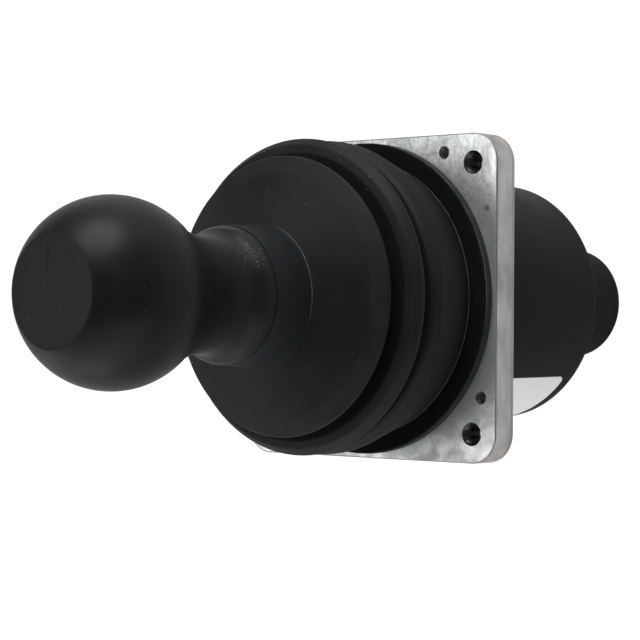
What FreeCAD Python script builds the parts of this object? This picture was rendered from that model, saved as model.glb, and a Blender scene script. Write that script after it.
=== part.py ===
import FreeCAD, Part
import math
import os
import re
import Sketcher

# Two-axis joystick controller, in millimetres.
# The lever stands along +Z. The origin is the centre of the plate's underside, which seats on the panel.

V = FreeCAD.Vector
doc = FreeCAD.newDocument("joystick_controller")

# Driving sizes: name, value, what it is
SIZE_ROWS = [
    ("plate_side", 88.9, "side of the square mounting plate"),
    ("plate_thick", 8.5, "thickness of the mounting plate"),
    ("plate_corner", 8.0, "corner radius of the mounting plate"),
    ("plate_edge", 0.4, "bevel of the plate's upper edge"),
    ("opening_margin", 2.0, "distance of the plate's opening from the carrier's towers"),
    ("panel_hole_inset", 7.95, "distance of the corner holes from the plate's sides"),
    ("panel_hole_rad", 3.175, "radius of the corner holes"),
    ("trim_hole_inset", 4.95, "distance of each small hole from the nearest side"),
    ("trim_hole_step", 9.8, "small hole's distance from the corner hole, along that side"),
    ("trim_hole_rad", 1.75, "radius of the small holes"),
    ("register_depth", 1.6, "depth of the seat for the can under the plate"),
    ("register_clear", 0.3, "radial clearance of the can in its seat"),
    ("gasket_thick", 0.6, "thickness of the gasket above the can"),
    ("can_room", 2.0, "space between the outer sensor and the can at its rim"),
    ("can_draft", 0.6, "how much narrower the can is at its floor"),
    ("can_depth", 55.1, "plate underside to the outside of the can's floor"),
    ("can_wall", 2.3, "wall of the can"),
    ("can_floor", 2.6, "floor of the can"),
    ("can_edge", 1.2, "bevel between the can's wall and floor"),
    ("shell_rad", 16.8, "outer radius of the connector shell"),
    ("shell_length", 40.3, "length of the connector shell below the can"),
    ("shell_edge", 0.8, "bevel of the shell's mouth"),
    ("spigot_rad", 14.4, "radius of the shell's threaded neck through the floor"),
    ("spigot_tail", 0.5, "length of the neck beyond its nut"),
    ("ring_nut_thick", 4.0, "height of the connector nut"),
    ("ring_nut_rad", 18.6, "corner radius of the connector nut"),
    ("socket_rad", 13.3, "bore that takes the mating plug"),
    ("socket_depth", 8.0, "depth of that bore"),
    ("contact_bore", 12.5, "bore round the contacts"),
    ("contact_cavity", 7.9, "depth of the bore round the contacts"),
    ("insulator_thick", 13.5, "thickness of the insulating insert"),
    ("contact_pin_rad", 0.8, "radius of a contact pin"),
    ("contact_circle", 7.0, "radius of the circle of contacts"),
    ("contact_stand", 7.0, "length of a contact in front of the insert"),
    ("contact_tail", 3.0, "length of a contact behind the insert"),
    ("wire_lead_rad", 0.7, "radius of a lead wire"),
    ("label_thick", 0.2, "thickness of the label"),
    ("label_glue", 0.03, "thickness of the glue under the label"),
    ("label_inset", 5.5, "label's distance from the can's end"),
    ("label_length", 38.0, "label's length along the can"),
    ("label_span_angle", 112.0, "angle that the label goes round"),
    ("label_start_angle", -151.0, "angle at which the label begins, from +X"),
    ("label_corner", 2.5, "corner radius of the label"),
    ("flange_margin", 1.35, "distance of the boot's flange from the plate's sides"),
    ("flange_thick", 3.1, "thickness of the boot's flange"),
    ("lip_thick", 1.2, "thickness of the boot's clamped lip"),
    ("boot_wall", 2.1, "wall of the boot"),
    ("fold_rad", 42.6, "outer radius of the boot's two folds"),
    ("fold_round", 1.6, "rounding of both folds"),
    ("foot_inset", 4.6, "how far the lower fold draws in at the flange"),
    ("low_fold_rise", 16.7, "height of the lower fold's widest line above the flange"),
    ("vee_rise", 5.2, "height of the groove between the folds above that line"),
    ("vee_depth", 3.4, "depth of the groove between the folds"),
    ("high_fold_rise", 4.2, "height of the upper fold's widest line above the groove"),
    ("shoulder_rise", 2.8, "height of the upper fold's shoulder above that line"),
    ("shoulder_inset", 4.2, "how far that shoulder draws in"),
    ("neck_step", 0.6, "rise of the shoulder to the groove under the disc"),
    ("neck_depth", 4.9, "depth of the groove under the disc, from the shoulder"),
    ("neck_width", 2.4, "width of the groove under the disc"),
    ("disc_rad", 37.6, "radius of the conical disc's rim"),
    ("disc_rise", 1.7, "height of the disc's rim above the groove"),
    ("disc_lip", 0.9, "height of the rim's edge"),
    ("cone_rise", 9.0, "height of the disc from its rim to the collar"),
    ("collar_foot_rad", 18.95, "radius of the collar where it meets the disc"),
    ("collar_top_rad", 18.3, "radius of the collar's top"),
    ("collar_length", 12.2, "length of the collar"),
    ("collar_bore", 15.0, "bore of the collar"),
    ("hub_clear", 0.1, "radial clearance of the hub in the collar"),
    ("hub_drop", 5.7, "how far the hub reaches below the collar"),
    ("pilot_clear", 0.5, "radial clearance of the spring round the hub's pilot"),
    ("pilot_depth", 2.2, "length of the hub's pilot"),
    ("seam_gap", 0.15, "gap between the collar and the knob"),
    ("knob_foot_rad", 17.8, "radius of the knob's lower edge"),
    ("skirt_rad", 18.0, "widest radius of the knob's skirt"),
    ("skirt_rise", 1.1, "height of that radius above the knob's lower edge"),
    ("flare_rad", 8.0, "radius of the hollow between skirt and waist"),
    ("waist_rad", 15.1, "radius of the knob's waist"),
    ("waist_rise", 8.05, "height of the waist above the skirt's widest line"),
    ("ball_rad", 24.14, "radius of the ball"),
    ("ball_rise", 31.65, "height of the ball's centre above the waist"),
    ("flat_rise", 19.75, "height of the flat above the ball's centre"),
    ("knob_pocket_rad", 12.0, "radius of the pocket round the jam nut"),
    ("jam_nut_thick", 7.0, "height of the jam nut"),
    ("jam_nut_flats", 17.0, "width across the jam nut's flats"),
    ("insert_rad", 7.5, "radius of the knob's threaded insert"),
    ("insert_length", 28.0, "length of the insert"),
    ("insert_roof", 2.0, "closed end of the insert"),
    ("groove_depth", 0.8, "depth of the groove that keys the insert"),
    ("groove_rise", 9.3, "height of that groove above the insert's lower end"),
    ("groove_width", 4.7, "width of that groove"),
    ("thread_rad", 5.0, "radius of the lever's threaded ends"),
    ("stem_rad", 6.0, "radius of the lever between hub and block"),
    ("stem_gap", 1.0, "space between the lever's end and the insert's roof"),
    ("bevel", 0.5, "small bevels on turned pieces"),
    ("pivot_drop", 9.5, "depth of both tilt axes below the plate's underside"),
    ("tilt_angle", 18.0, "tilt each way on each axis"),
    ("gate_thick", 2.4, "thickness of the gate plate"),
    ("gate_clear", 0.35, "gap between the tilted lever and the gate"),
    ("gate_corner", 5.0, "corner radius of the gate"),
    ("gate_rim_clear", 0.5, "radial clearance of the gate plate's rim inside the boot"),
    ("gate_lap", 2.4, "how far that rim covers the boot's lip"),
    ("gate_fit", 0.2, "radial clearance between gate plate and lip"),
    ("gate_screw_inset", 3.5, "distance of the gate screws from the lip's edge"),
    ("gate_screw_rad", 1.25, "thread radius of a gate screw"),
    ("gate_screw_reach", 5.0, "length of a gate screw in the plate"),
    ("head_rad", 2.3, "head radius of the small screws"),
    ("head_height", 1.5, "head height of the small screws"),
    ("screw_clear", 0.2, "radial clearance round a screw's shank"),
    ("coil_low_rad", 20.8, "mean radius of the spring's lowest turn"),
    ("coil_high_rad", 13.0, "mean radius of the spring's highest turn"),
    ("coil_wire_rad", 1.1, "radius of the spring wire"),
    ("coil_half_turns", 10, "number of half turns of the spring"),
    ("block_rad", 9.5, "radius of the pivot block"),
    ("block_half", 6.0, "half the height of the pivot block"),
    ("pin_rad", 3.0, "radius of the trunnions and the cross pin"),
    ("run_clear", 0.04, "radial running clearance of the pins"),
    ("thrust_gap", 0.35, "end clearance of the rocking pieces"),
    ("bush_rad", 4.5, "outer radius of the bushes"),
    ("bush_flange_rad", 6.2, "flange radius of the trunnion bushes"),
    ("bush_flange_thick", 1.15, "flange thickness of the trunnion bushes"),
    ("ring_half", 17.0, "half the width of the gimbal ring"),
    ("ring_bore", 12.0, "bore of the gimbal ring"),
    ("ring_half_height", 5.0, "half the height of the gimbal ring"),
    ("ring_corner", 7.0, "corner radius of the gimbal ring"),
    ("washer_thick", 1.0, "thickness of the lever's washer"),
    ("washer_rad", 8.4, "radius of the lever's washer"),
    ("lever_nut_thick", 5.0, "height of the lever's lower nut"),
    ("lever_nut_flats", 15.0, "width across that nut's flats"),
    ("thread_tail", 1.0, "thread left beyond the lever's lower nut"),
    ("carrier_thick", 3.0, "thickness of the gimbal carrier's ring"),
    ("carrier_clear", 0.6, "radial clearance of the gimbal carrier in the can"),
    ("tower_half", 9.5, "half the width of a tower"),
    ("tower_thick", 5.5, "thickness of a tower"),
    ("tower_flat", 0.1, "half the width of the flat left under a tower"),
    ("lug_length", 6.0, "how far a tower's foot reaches out beyond it"),
    ("sensor_rad", 6.3, "outer radius of a sensor housing"),
    ("sensor_length", 7.0, "length of a sensor housing"),
    ("sensor_wall", 1.3, "wall of a sensor housing"),
    ("sensor_end", 1.8, "closed end of a sensor housing"),
    ("sensor_edge", 0.6, "bevel round a sensor housing's end"),
    ("ear_half", 3.0, "half the width of a sensor housing's ears"),
    ("ear_thick", 1.4, "thickness of the ears"),
    ("ear_screw_reach", 7.7, "ear screw's distance from the sensor's axis"),
    ("ear_screw_rad", 0.8, "radius of an ear screw"),
    ("ear_screw_depth", 3.5, "length of an ear screw in its seat"),
    ("ear_head_rad", 1.3, "head radius of an ear screw"),
    ("ear_head_height", 0.9, "head height of an ear screw"),
    ("rotor_rad", 4.5, "radius of a sensor's rotor"),
    ("rotor_length", 4.0, "length of a rotor"),
    ("rotor_gap", 0.6, "end clearance of a rotor"),
    ("rotor_seat", 3.2, "depth of the pin in its rotor"),
    ("post_clear", 0.5, "distance of the standoffs from the can's wall"),
    ("post_angle", 45.0, "angle of the first standoff"),
    ("post_flats", 5.5, "width across a standoff's flats"),
    ("post_stud_rad", 1.5, "radius of an upper standoff's stud"),
    ("post_stud_reach", 4.4, "length of that stud in the plate"),
    ("post_screw_rad", 1.5, "radius of the lower studs and the can screws"),
    ("post_screw_reach", 7.0, "depth of the threads at a standoff's lower end"),
    ("can_head_rad", 2.9, "head radius of a can screw"),
    ("can_head_height", 2.2, "head height of a can screw"),
    ("board_stand", 10.5, "height of the sensor board above the can's floor"),
    ("board_thick", 1.6, "thickness of the sensor board"),
    ("board_clear", 1.1, "radial clearance of the sensor board in the can"),
    ("chip_side", 10.0, "side of the processor"),
    ("chip_height", 1.4, "height of the processor"),
    ("chip_reach", 14.0, "processor's distance from the centre"),
    ("cap_rad", 3.2, "radius of a capacitor"),
    ("cap_height", 6.5, "height of a capacitor"),
    ("cap_reach", 16.0, "capacitors' distance from the centre"),
    ("cap_pitch", 8.0, "distance between the capacitors"),
    ("header_half", 9.0, "half the width of the board header"),
    ("header_height", 5.4, "height of the board header"),
    ("header_corner", 2.0, "corner radius of the board header"),
]

sheet = doc.addObject("Spreadsheet::Sheet", "Sizes")
for row, (name, number, note) in enumerate(SIZE_ROWS, start=1):
    sheet.set(f"A{row}", name)
    sheet.set(f"B{row}", str(number))
    sheet.set(f"C{row}", note)
    sheet.setAlias(f"B{row}", name)
doc.recompute()
SIZE_NAMES = {name for name, number, note in SIZE_ROWS}


def cell_of(word):
    return f"Sizes.{word.group()}" if word.group() in SIZE_NAMES else word.group()


def bound(formula):
    """The formula with each size name pointing at its cell."""
    return re.sub(r"[a-z_]+", cell_of, formula)


def value(formula):
    """What the formula comes to with the sheet's present sizes."""
    return float(sheet.evalExpression(bound(formula)))


# Places and sizes worked out from the sheet's, in formulas
PIVOT = "(-pivot_drop)"
RISE = "(pivot_drop + plate_thick)"
PLATE_HALF = "(plate_side / 2)"
PANEL_HOLE = f"({PLATE_HALF} - panel_hole_inset)"
TRIM_FAR = f"({PLATE_HALF} - trim_hole_inset)"
TRIM_NEAR = f"({PANEL_HOLE} - trim_hole_step)"
FLANGE_RAD = f"({PLATE_HALF} - flange_margin)"
FOOT_RAD = "(fold_rad - foot_inset)"
VEE_RAD = "(fold_rad - vee_depth)"
SHOULDER_RAD = "(fold_rad - shoulder_inset)"
NECK_RAD = f"({SHOULDER_RAD} - neck_depth)"
LOW_FOLD = "(flange_thick + low_fold_rise)"
VEE = f"({LOW_FOLD} + vee_rise)"
HIGH_FOLD = f"({VEE} + high_fold_rise)"
SHOULDER = f"({HIGH_FOLD} + shoulder_rise)"
NECK_LOW = f"({SHOULDER} + neck_step)"
NECK_HIGH = f"({NECK_LOW} + neck_width)"
DISC = f"({NECK_HIGH} + disc_rise)"
COLLAR_FOOT = f"({DISC} + cone_rise)"
COLLAR_TOP = f"({COLLAR_FOOT} + collar_length)"
HUB_LOW = f"({COLLAR_FOOT} - hub_drop)"
GATE_RIM_RAD = f"({FOOT_RAD} - boot_wall - gate_rim_clear)"
LIP_RAD = f"({GATE_RIM_RAD} - gate_lap)"
GATE_SCREWS = f"({LIP_RAD} - gate_screw_inset)"
GATE_HALF = ("((pivot_drop + plate_thick + gate_thick) * tan(tilt_angle) / cos(tilt_angle)"
             " + stem_rad / cos(tilt_angle) + gate_clear)")
KNOB_FOOT = f"({COLLAR_TOP} + seam_gap)"
SKIRT = f"({KNOB_FOOT} + skirt_rise)"
WAIST = f"({SKIRT} + waist_rise)"
BALL = f"({WAIST} + ball_rise)"
FLAT = f"({BALL} + flat_rise)"
INSERT_LOW = f"({COLLAR_TOP} + jam_nut_thick)"
INSERT_HIGH = f"({INSERT_LOW} + insert_length)"
TOWER_IN = "(ring_half + bush_flange_thick + thrust_gap)"
TOWER_OUT = f"({TOWER_IN} + tower_thick)"
OPENING = f"({TOWER_OUT} + opening_margin)"
CAN_MOUTH = f"({TOWER_OUT} + sensor_length + can_room)"
CAN_RIM_RAD = f"({CAN_MOUTH} + can_wall)"
RIM = "(register_depth - gasket_thick)"
FLOOR_IN = "(can_floor - can_depth)"
CAN_END_RAD = f"({CAN_RIM_RAD} - can_draft)"
CAN_IN_RAD = f"({CAN_END_RAD} - can_wall)"
POSTS = f"({CAN_IN_RAD} - post_flats / 2 / cos(30) - post_clear)"
SHELL_END = "(-can_depth - shell_length)"
INSERT_FACE = f"({SHELL_END} + socket_depth + contact_cavity)"
INSERT_BACK = f"({INSERT_FACE} + insulator_thick)"
BOARD_LOW = f"({FLOOR_IN} + board_stand)"
BOARD_TOP = f"({BOARD_LOW} + board_thick)"
HEADER_LOW = f"({BOARD_LOW} - header_height)"
CARRIER_LOW = "(register_depth - carrier_thick)"
ZERO = "0"
QUARTER_TURN = "90"

# How many there are of each set, and how near two places count as one
FIXINGS = 4
CONTACTS = 6
NEAR = 0.01


def origin_plane(body, role):
    return next(plane for plane in body.Origin.OriginFeatures if plane.Role == role)


def new_body(label):
    body = doc.addObject("PartDesign::Body", label)
    body.Label = label
    return body


def new_sketch(body, role="XY_Plane", lift=ZERO):
    """An empty sketch on one of the body's own planes, lifted along the plane's normal."""
    sketch = body.newObject("Sketcher::SketchObject", f"{body.Label}_sketch")
    sketch.AttachmentSupport = [(origin_plane(body, role), "")]
    sketch.MapMode = "FlatFace"
    sketch.setExpression("AttachmentOffset.Base.z", bound(lift))
    return sketch


def tie(sketch, kind, formula, *where):
    """A driving constraint whose value is bound to a formula."""
    index = sketch.addConstraint(Sketcher.Constraint(kind, *where, value(formula)))
    sketch.setExpression(f"Constraints[{index}]", bound(formula))


def arc_between(start, end, radius):
    """The shorter arc from start to end: its centre lies to the left if the radius is positive."""
    chord = end - start
    left = V(-chord.y, chord.x, 0).normalize()
    reach = math.sqrt(radius ** 2 - (chord.Length / 2) ** 2)
    centre = (start + end) / 2 + left * math.copysign(reach, radius)
    first, last = (start, end) if radius > 0 else (end, start)
    angles = [math.atan2(point.y - centre.y, point.x - centre.x) for point in (first, last)]
    return Part.ArcOfCircle(Part.Circle(centre, V(0, 0, 1), abs(radius)), angles[0], angles[1])


def trace(sketch, corners):
    """A closed outline. Each corner is (across, up), or (across, up, radius) where an arc leaves it."""
    points = [V(value(corner[0]), value(corner[1]), 0) for corner in corners]
    first = sketch.GeometryCount
    ends = []
    for index, corner in enumerate(corners):
        start = points[index]
        end = points[(index + 1) % len(points)]
        radius = value(corner[2]) if len(corner) > 2 else 0
        if radius:
            sketch.addGeometry(arc_between(start, end, radius))
            tie(sketch, "Radius", f"abs({corner[2]})", first + index)
        else:
            sketch.addGeometry(Part.LineSegment(start, end))
        ends.append((2, 1) if radius < 0 else (1, 2))
    for index, corner in enumerate(corners):
        following = (index + 1) % len(corners)
        here = (first + index, ends[index][1])
        there = (first + following, ends[following][0])
        sketch.addConstraint(Sketcher.Constraint("Coincident", *here, *there))
        tie(sketch, "DistanceX", corner[0], first + index, ends[index][0])
        tie(sketch, "DistanceY", corner[1], first + index, ends[index][0])


def ring(sketch, across, up, radius):
    index = sketch.addGeometry(Part.Circle(V(value(across), value(up), 0), V(0, 0, 1), value(radius)))
    tie(sketch, "Radius", radius, index)
    tie(sketch, "DistanceX", across, index, 3)
    tie(sketch, "DistanceY", up, index, 3)


def box_corners(left, right, low, high):
    return [(left, low), (right, low), (right, high), (left, high)]


def hexagon_corners(across, flats):
    """A hexagon centred on the X axis at a distance, with two of its corners on that axis."""
    corner = f"({flats} / 2 / cos(30))"
    return [(f"{across} + {corner} * cos({turn})", f"{corner} * sin({turn})") for turn in range(0, 360, 60)]


def pad(body, sketch, length, middle=False):
    feature = body.newObject("PartDesign::Pad", f"{body.Label}_pad")
    feature.Profile = sketch
    feature.setExpression("Length", bound(length))
    feature.Midplane = middle
    body.Tip = feature
    doc.recompute()
    return feature


def pocket(body, sketch, length, middle=False, along=False):
    """A cut against the sketch's normal, or along it; it has to take material away."""
    before = body.Shape.Volume
    feature = body.newObject("PartDesign::Pocket", f"{body.Label}_pocket")
    feature.Profile = sketch
    feature.setExpression("Length", bound(length))
    feature.Midplane = middle
    feature.Reversed = along
    body.Tip = feature
    doc.recompute()
    if body.Shape.Volume >= before:
        raise ValueError(f"{body.Label}: a pocket cuts nothing")
    return feature


def revolve(body, sketch, axis="V_Axis", angle=None):
    feature = body.newObject("PartDesign::Revolution", f"{body.Label}_turning")
    feature.Profile = sketch
    feature.ReferenceAxis = (sketch, [axis])
    feature.Angle = 360
    if angle:
        feature.setExpression("Angle", bound(angle))
    body.Tip = feature
    doc.recompute()
    return feature


def repeat(body, features, count):
    """The features repeated evenly round the body's Z axis."""
    pattern = body.newObject("PartDesign::PolarPattern", f"{body.Label}_pattern")
    pattern.Originals = features
    pattern.Axis = (origin_plane(body, "Z_Axis"), [""])
    pattern.Angle = 360
    pattern.Occurrences = count
    body.Tip = pattern
    doc.recompute()


def ease(body, kind, size, chosen):
    """A Fillet or Chamfer on the edges that the test picks out."""
    edges = body.Tip.Shape.Edges
    names = [f"Edge{number}" for number, edge in enumerate(edges, start=1) if chosen(edge)]
    base = body.Tip
    feature = body.newObject(f"PartDesign::{kind}", f"{body.Label}_{kind.lower()}")
    feature.Base = (base, names)
    feature.setExpression("Radius" if kind == "Fillet" else "Size", bound(size))
    body.Tip = feature
    doc.recompute()


def is_upright(edge):
    return isinstance(edge.Curve, Part.Line) and abs(edge.tangentAt(edge.FirstParameter).z) > 0.99


def is_circle(edge, radius, height):
    """True for a full circle round Z of this radius at this height."""
    if not isinstance(edge.Curve, Part.Circle) or not edge.isClosed():
        return False
    centre = edge.Curve.Center
    same = abs(edge.Curve.Radius - value(radius)) < NEAR and abs(centre.z - value(height)) < NEAR
    return same and math.hypot(centre.x, centre.y) < NEAR


def lathe(label, corners, axis="V_Axis"):
    """A turned piece: the outline runs in (radius, Z), or in (X, radius) when it turns round X."""
    body = new_body(label)
    sketch = new_sketch(body, "XZ_Plane")
    trace(sketch, corners)
    revolve(body, sketch, axis)
    return body


def lift(piece, height):
    piece.setExpression("Placement.Base.z", bound(height))


def swing(piece, angle):
    """Turns a piece's placement round Z."""
    piece.Placement = FreeCAD.Placement(piece.Placement.Base, FreeCAD.Rotation(V(0, 0, 1), value(angle)))
    piece.setExpression("Placement.Rotation.Angle", bound(angle))


def turned_at(body, across, corners):
    """A solid turned round an upright line at a distance along X; corners give (offset, Z)."""
    sketch = new_sketch(body, "XZ_Plane")
    trace(sketch, [(f"{across} + {offset}", up) for offset, up in corners])
    middle = value(across)
    start, end = value(corners[0][1]), value(corners[-1][1])
    line = sketch.addGeometry(Part.LineSegment(V(middle, start, 0), V(middle, end, 0)), True)
    sketch.addConstraint(Sketcher.Constraint("Vertical", line))
    tie(sketch, "DistanceX", across, line, 1)
    return revolve(body, sketch, "Axis0")


def screws(label, circle, shank_rad, head_radius, head_tall, head_seat, tip):
    """A ring of screws: the head grows from its seat away from the tip."""
    side = 1 if value(head_seat) > value(tip) else -1
    crown = f"{head_seat} + {side} * {head_tall}"
    body = new_body(label)
    profile = [
        (ZERO, tip), (shank_rad, tip), (shank_rad, head_seat), (head_radius, head_seat),
        (head_radius, f"{crown} - {side} * bevel"), (f"{head_radius} - bevel", crown), (ZERO, crown),
    ]
    feature = turned_at(body, circle, profile)
    repeat(body, [feature], FIXINGS)
    return body


def make_mounting_plate():
    """Square plate: opening, tapped corner holes, small holes, a seat for the can and inner threads."""
    body = new_body("mounting_plate")
    sketch = new_sketch(body)
    trace(sketch, box_corners(f"-{PLATE_HALF}", PLATE_HALF, f"-{PLATE_HALF}", PLATE_HALF))
    ring(sketch, ZERO, ZERO, OPENING)
    for across, up in (("", ""), ("-", ""), ("-", "-"), ("", "-")):
        ring(sketch, f"{across}{PANEL_HOLE}", f"{up}{PANEL_HOLE}", "panel_hole_rad")
    ring(sketch, TRIM_NEAR, TRIM_FAR, "trim_hole_rad")
    ring(sketch, f"-{TRIM_FAR}", TRIM_NEAR, "trim_hole_rad")
    ring(sketch, f"-{TRIM_NEAR}", f"-{TRIM_FAR}", "trim_hole_rad")
    ring(sketch, TRIM_FAR, f"-{TRIM_NEAR}", "trim_hole_rad")
    pad(body, sketch, "plate_thick")
    side = value(PLATE_HALF)
    ease(body, "Fillet", "plate_corner",
         lambda edge: is_upright(edge)
         and min(abs(edge.CenterOfMass.x), abs(edge.CenterOfMass.y)) > side - NEAR)
    top = value("plate_thick")
    straight = side - value("plate_corner")
    ease(body, "Chamfer", "plate_edge",
         lambda edge: isinstance(edge.Curve, Part.Line) and abs(edge.CenterOfMass.z - top) < NEAR
         and max(abs(edge.CenterOfMass.x), abs(edge.CenterOfMass.y)) > straight)
    seat = new_sketch(body)
    ring(seat, ZERO, ZERO, f"{CAN_RIM_RAD} + register_clear")
    pocket(body, seat, "register_depth", along=True)
    gate_threads = new_sketch(body, lift="plate_thick")
    stud_threads = new_sketch(body, lift="register_depth")
    for turn in range(0, 360, 360 // FIXINGS):
        ring(gate_threads, f"{GATE_SCREWS} * cos({turn})", f"{GATE_SCREWS} * sin({turn})", "gate_screw_rad")
        ring(stud_threads, f"{POSTS} * cos(post_angle + {turn})", f"{POSTS} * sin(post_angle + {turn})",
             "post_stud_rad")
    pocket(body, gate_threads, "gate_screw_reach")
    pocket(body, stud_threads, "post_stud_reach", along=True)


def make_boot():
    """Moulded bellows of one wall: clamped lip, flange, two folds, grooved neck, conical disc and collar."""
    slope = "(cone_rise / (disc_rad - collar_foot_rad))"
    inner_disc = f"({COLLAR_FOOT} - boot_wall / cos(atan({slope})))"
    inner_neck = f"({NECK_RAD} - boot_wall)"
    body = lathe("boot", [
        (LIP_RAD, ZERO), (FLANGE_RAD, ZERO), (FLANGE_RAD, "flange_thick"), (FOOT_RAD, "flange_thick"),
        ("fold_rad", f"{LOW_FOLD} - fold_round / 2"), ("fold_rad", f"{LOW_FOLD} + fold_round / 2"),
        ("fold_rad - fold_round / 2", f"{LOW_FOLD} + fold_round * 2"),
        (VEE_RAD, VEE),
        ("fold_rad - fold_round", f"{HIGH_FOLD} - fold_round * 1.5"),
        ("fold_rad", f"{HIGH_FOLD} - fold_round / 2"), ("fold_rad", f"{HIGH_FOLD} + fold_round / 4"),
        ("fold_rad - fold_round", f"{HIGH_FOLD} + fold_round * 1.3"),
        (SHOULDER_RAD, SHOULDER), (NECK_RAD, NECK_LOW), (NECK_RAD, NECK_HIGH),
        ("disc_rad - disc_lip / 2", f"{DISC} - disc_lip"), ("disc_rad", f"{DISC} - disc_lip / 2"),
        ("disc_rad - disc_lip / 3", f"{DISC} + disc_lip / 3 * {slope}"),
        ("collar_foot_rad", COLLAR_FOOT), ("collar_top_rad", COLLAR_TOP), ("collar_bore", COLLAR_TOP),
        ("collar_bore", f"{inner_disc} + (collar_foot_rad - collar_bore) * {slope}"),
        (inner_neck, f"{inner_disc} + (collar_foot_rad - {inner_neck}) * {slope}"),
        (inner_neck, f"{NECK_LOW} - boot_wall"),
        ("fold_rad - boot_wall", f"{HIGH_FOLD} - fold_round / 2"),
        (f"{VEE_RAD} - boot_wall", VEE), ("fold_rad - boot_wall", LOW_FOLD),
        (f"{FOOT_RAD} - boot_wall", "flange_thick"), (f"{FOOT_RAD} - boot_wall", "lip_thick"),
        (LIP_RAD, "lip_thick"),
    ])
    lift(body, "plate_thick")


def make_gate_plate():
    """The square restrictor that stops the lever; its rim clamps the boot's lip."""
    body = lathe("gate_plate", [
        (ZERO, ZERO), (f"{LIP_RAD} - gate_fit", ZERO), (f"{LIP_RAD} - gate_fit", "lip_thick"),
        (GATE_RIM_RAD, "lip_thick"), (GATE_RIM_RAD, "gate_thick"), (ZERO, "gate_thick"),
    ])
    lift(body, "plate_thick")
    opening = new_sketch(body)
    trace(opening, box_corners(f"-{GATE_HALF}", GATE_HALF, f"-{GATE_HALF}", GATE_HALF))
    pocket(body, opening, "gate_thick * 3", middle=True)
    ease(body, "Fillet", "gate_corner", is_upright)
    holes = new_sketch(body)
    for turn in range(0, 360, 360 // FIXINGS):
        ring(holes, f"{GATE_SCREWS} * cos({turn})", f"{GATE_SCREWS} * sin({turn})",
             "gate_screw_rad + screw_clear")
    pocket(body, holes, "gate_thick * 3", middle=True)
    piece = screws("gate_screws", GATE_SCREWS, "gate_screw_rad", "head_rad", "head_height",
                   "gate_thick", "-gate_screw_reach")
    lift(piece, "plate_thick")


def make_centring_spring():
    """Conical coil between gate plate and hub, as a chain of tilted half turns that share their tangents."""
    halves = int(value("coil_half_turns"))
    wire = value("coil_wire_rad")
    low, high = value("coil_low_rad"), value("coil_high_rad")
    base = value("gate_thick") + wire
    climb = value(HUB_LOW) - wire - base
    radii = [low + (high - low) * turn / halves for turn in range(halves + 1)]
    heights = [base + climb * min(max(turn - 1, 0), halves - 2) / (halves - 2) for turn in range(halves + 1)]
    corners = [V(radii[0] + wire * math.cos(turn), 0, heights[0] + wire * math.sin(turn))
               for turn in (math.radians(60 * corner) for corner in range(7))]
    section = Part.Face(Part.makePolygon(corners))
    skins = [section]
    for turn in range(halves):
        side = 1 if turn % 2 == 0 else -1
        start = V(side * radii[turn], 0, heights[turn])
        end = V(-side * radii[turn + 1], 0, heights[turn + 1])
        chord = end - start
        axis = V(-chord.z, 0, chord.x).normalize() * -side
        coil = section.revolve((start + end) / 2, axis, 180)
        skins += [face for face in coil.Faces if abs(face.CenterOfMass.y) > wire]
        section = section.rotated((start + end) / 2, axis, 180)
    skins.append(section)
    spring = doc.addObject("Part::Feature", "centring_spring")
    spring.Label = "centring_spring"
    spring.Shape = Part.Solid(Part.Shell(skins))
    lift(spring, "plate_thick")


def make_gimbal_carrier():
    """Ring under the plate with two towers that carry the outer tilt axis."""
    body = new_body("gimbal_carrier")
    plate = new_sketch(body, lift=CARRIER_LOW)
    ring(plate, ZERO, ZERO, f"{CAN_MOUTH} - carrier_clear")
    ring(plate, ZERO, ZERO, OPENING)
    pad(body, plate, "carrier_thick")
    for side in ("", "-"):
        foot = new_sketch(body, lift=CARRIER_LOW)
        foot_end = f"{side}({TOWER_OUT} + lug_length)"
        trace(foot, box_corners(f"{side}{TOWER_IN}", foot_end, "-tower_half", "tower_half"))
        pad(body, foot, "carrier_thick")
        tower = new_sketch(body, "YZ_Plane", f"{side}({TOWER_IN} + tower_thick / 2)")
        trace(tower, box_corners("-tower_half", "tower_half", f"{PIVOT} - tower_half", CARRIER_LOW))
        pad(body, tower, "tower_thick", middle=True)
    foot_z = value(f"{PIVOT} - tower_half")
    ease(body, "Fillet", "tower_half - tower_flat",
         lambda edge: isinstance(edge.Curve, Part.Line) and abs(edge.tangentAt(0).x) > 0.99
         and abs(edge.CenterOfMass.z - foot_z) < NEAR)
    axle = new_sketch(body, "YZ_Plane")
    ring(axle, ZERO, PIVOT, "bush_rad")
    pocket(body, axle, "plate_side", middle=True)
    threads = new_sketch(body, "YZ_Plane", TOWER_OUT)
    for side in ("", "-"):
        ring(threads, f"{side}ear_screw_reach", PIVOT, "ear_screw_rad")
    pocket(body, threads, "ear_screw_depth")
    studs = new_sketch(body)
    for turn in range(0, 360, 360 // FIXINGS):
        ring(studs, f"{POSTS} * cos(post_angle + {turn})", f"{POSTS} * sin(post_angle + {turn})",
             "post_stud_rad + screw_clear")
    pocket(body, studs, "plate_side", middle=True)


def make_trunnion_bushes():
    body = lathe("trunnion_bushes", [
        (f"{TOWER_IN} - bush_flange_thick", "pin_rad + run_clear"),
        (TOWER_OUT, "pin_rad + run_clear"), (TOWER_OUT, "bush_rad"), (TOWER_IN, "bush_rad"),
        (TOWER_IN, "bush_flange_rad"), (f"{TOWER_IN} - bush_flange_thick", "bush_flange_rad"),
    ], "H_Axis")
    repeat(body, [body.Tip], 2)
    lift(body, PIVOT)


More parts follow.
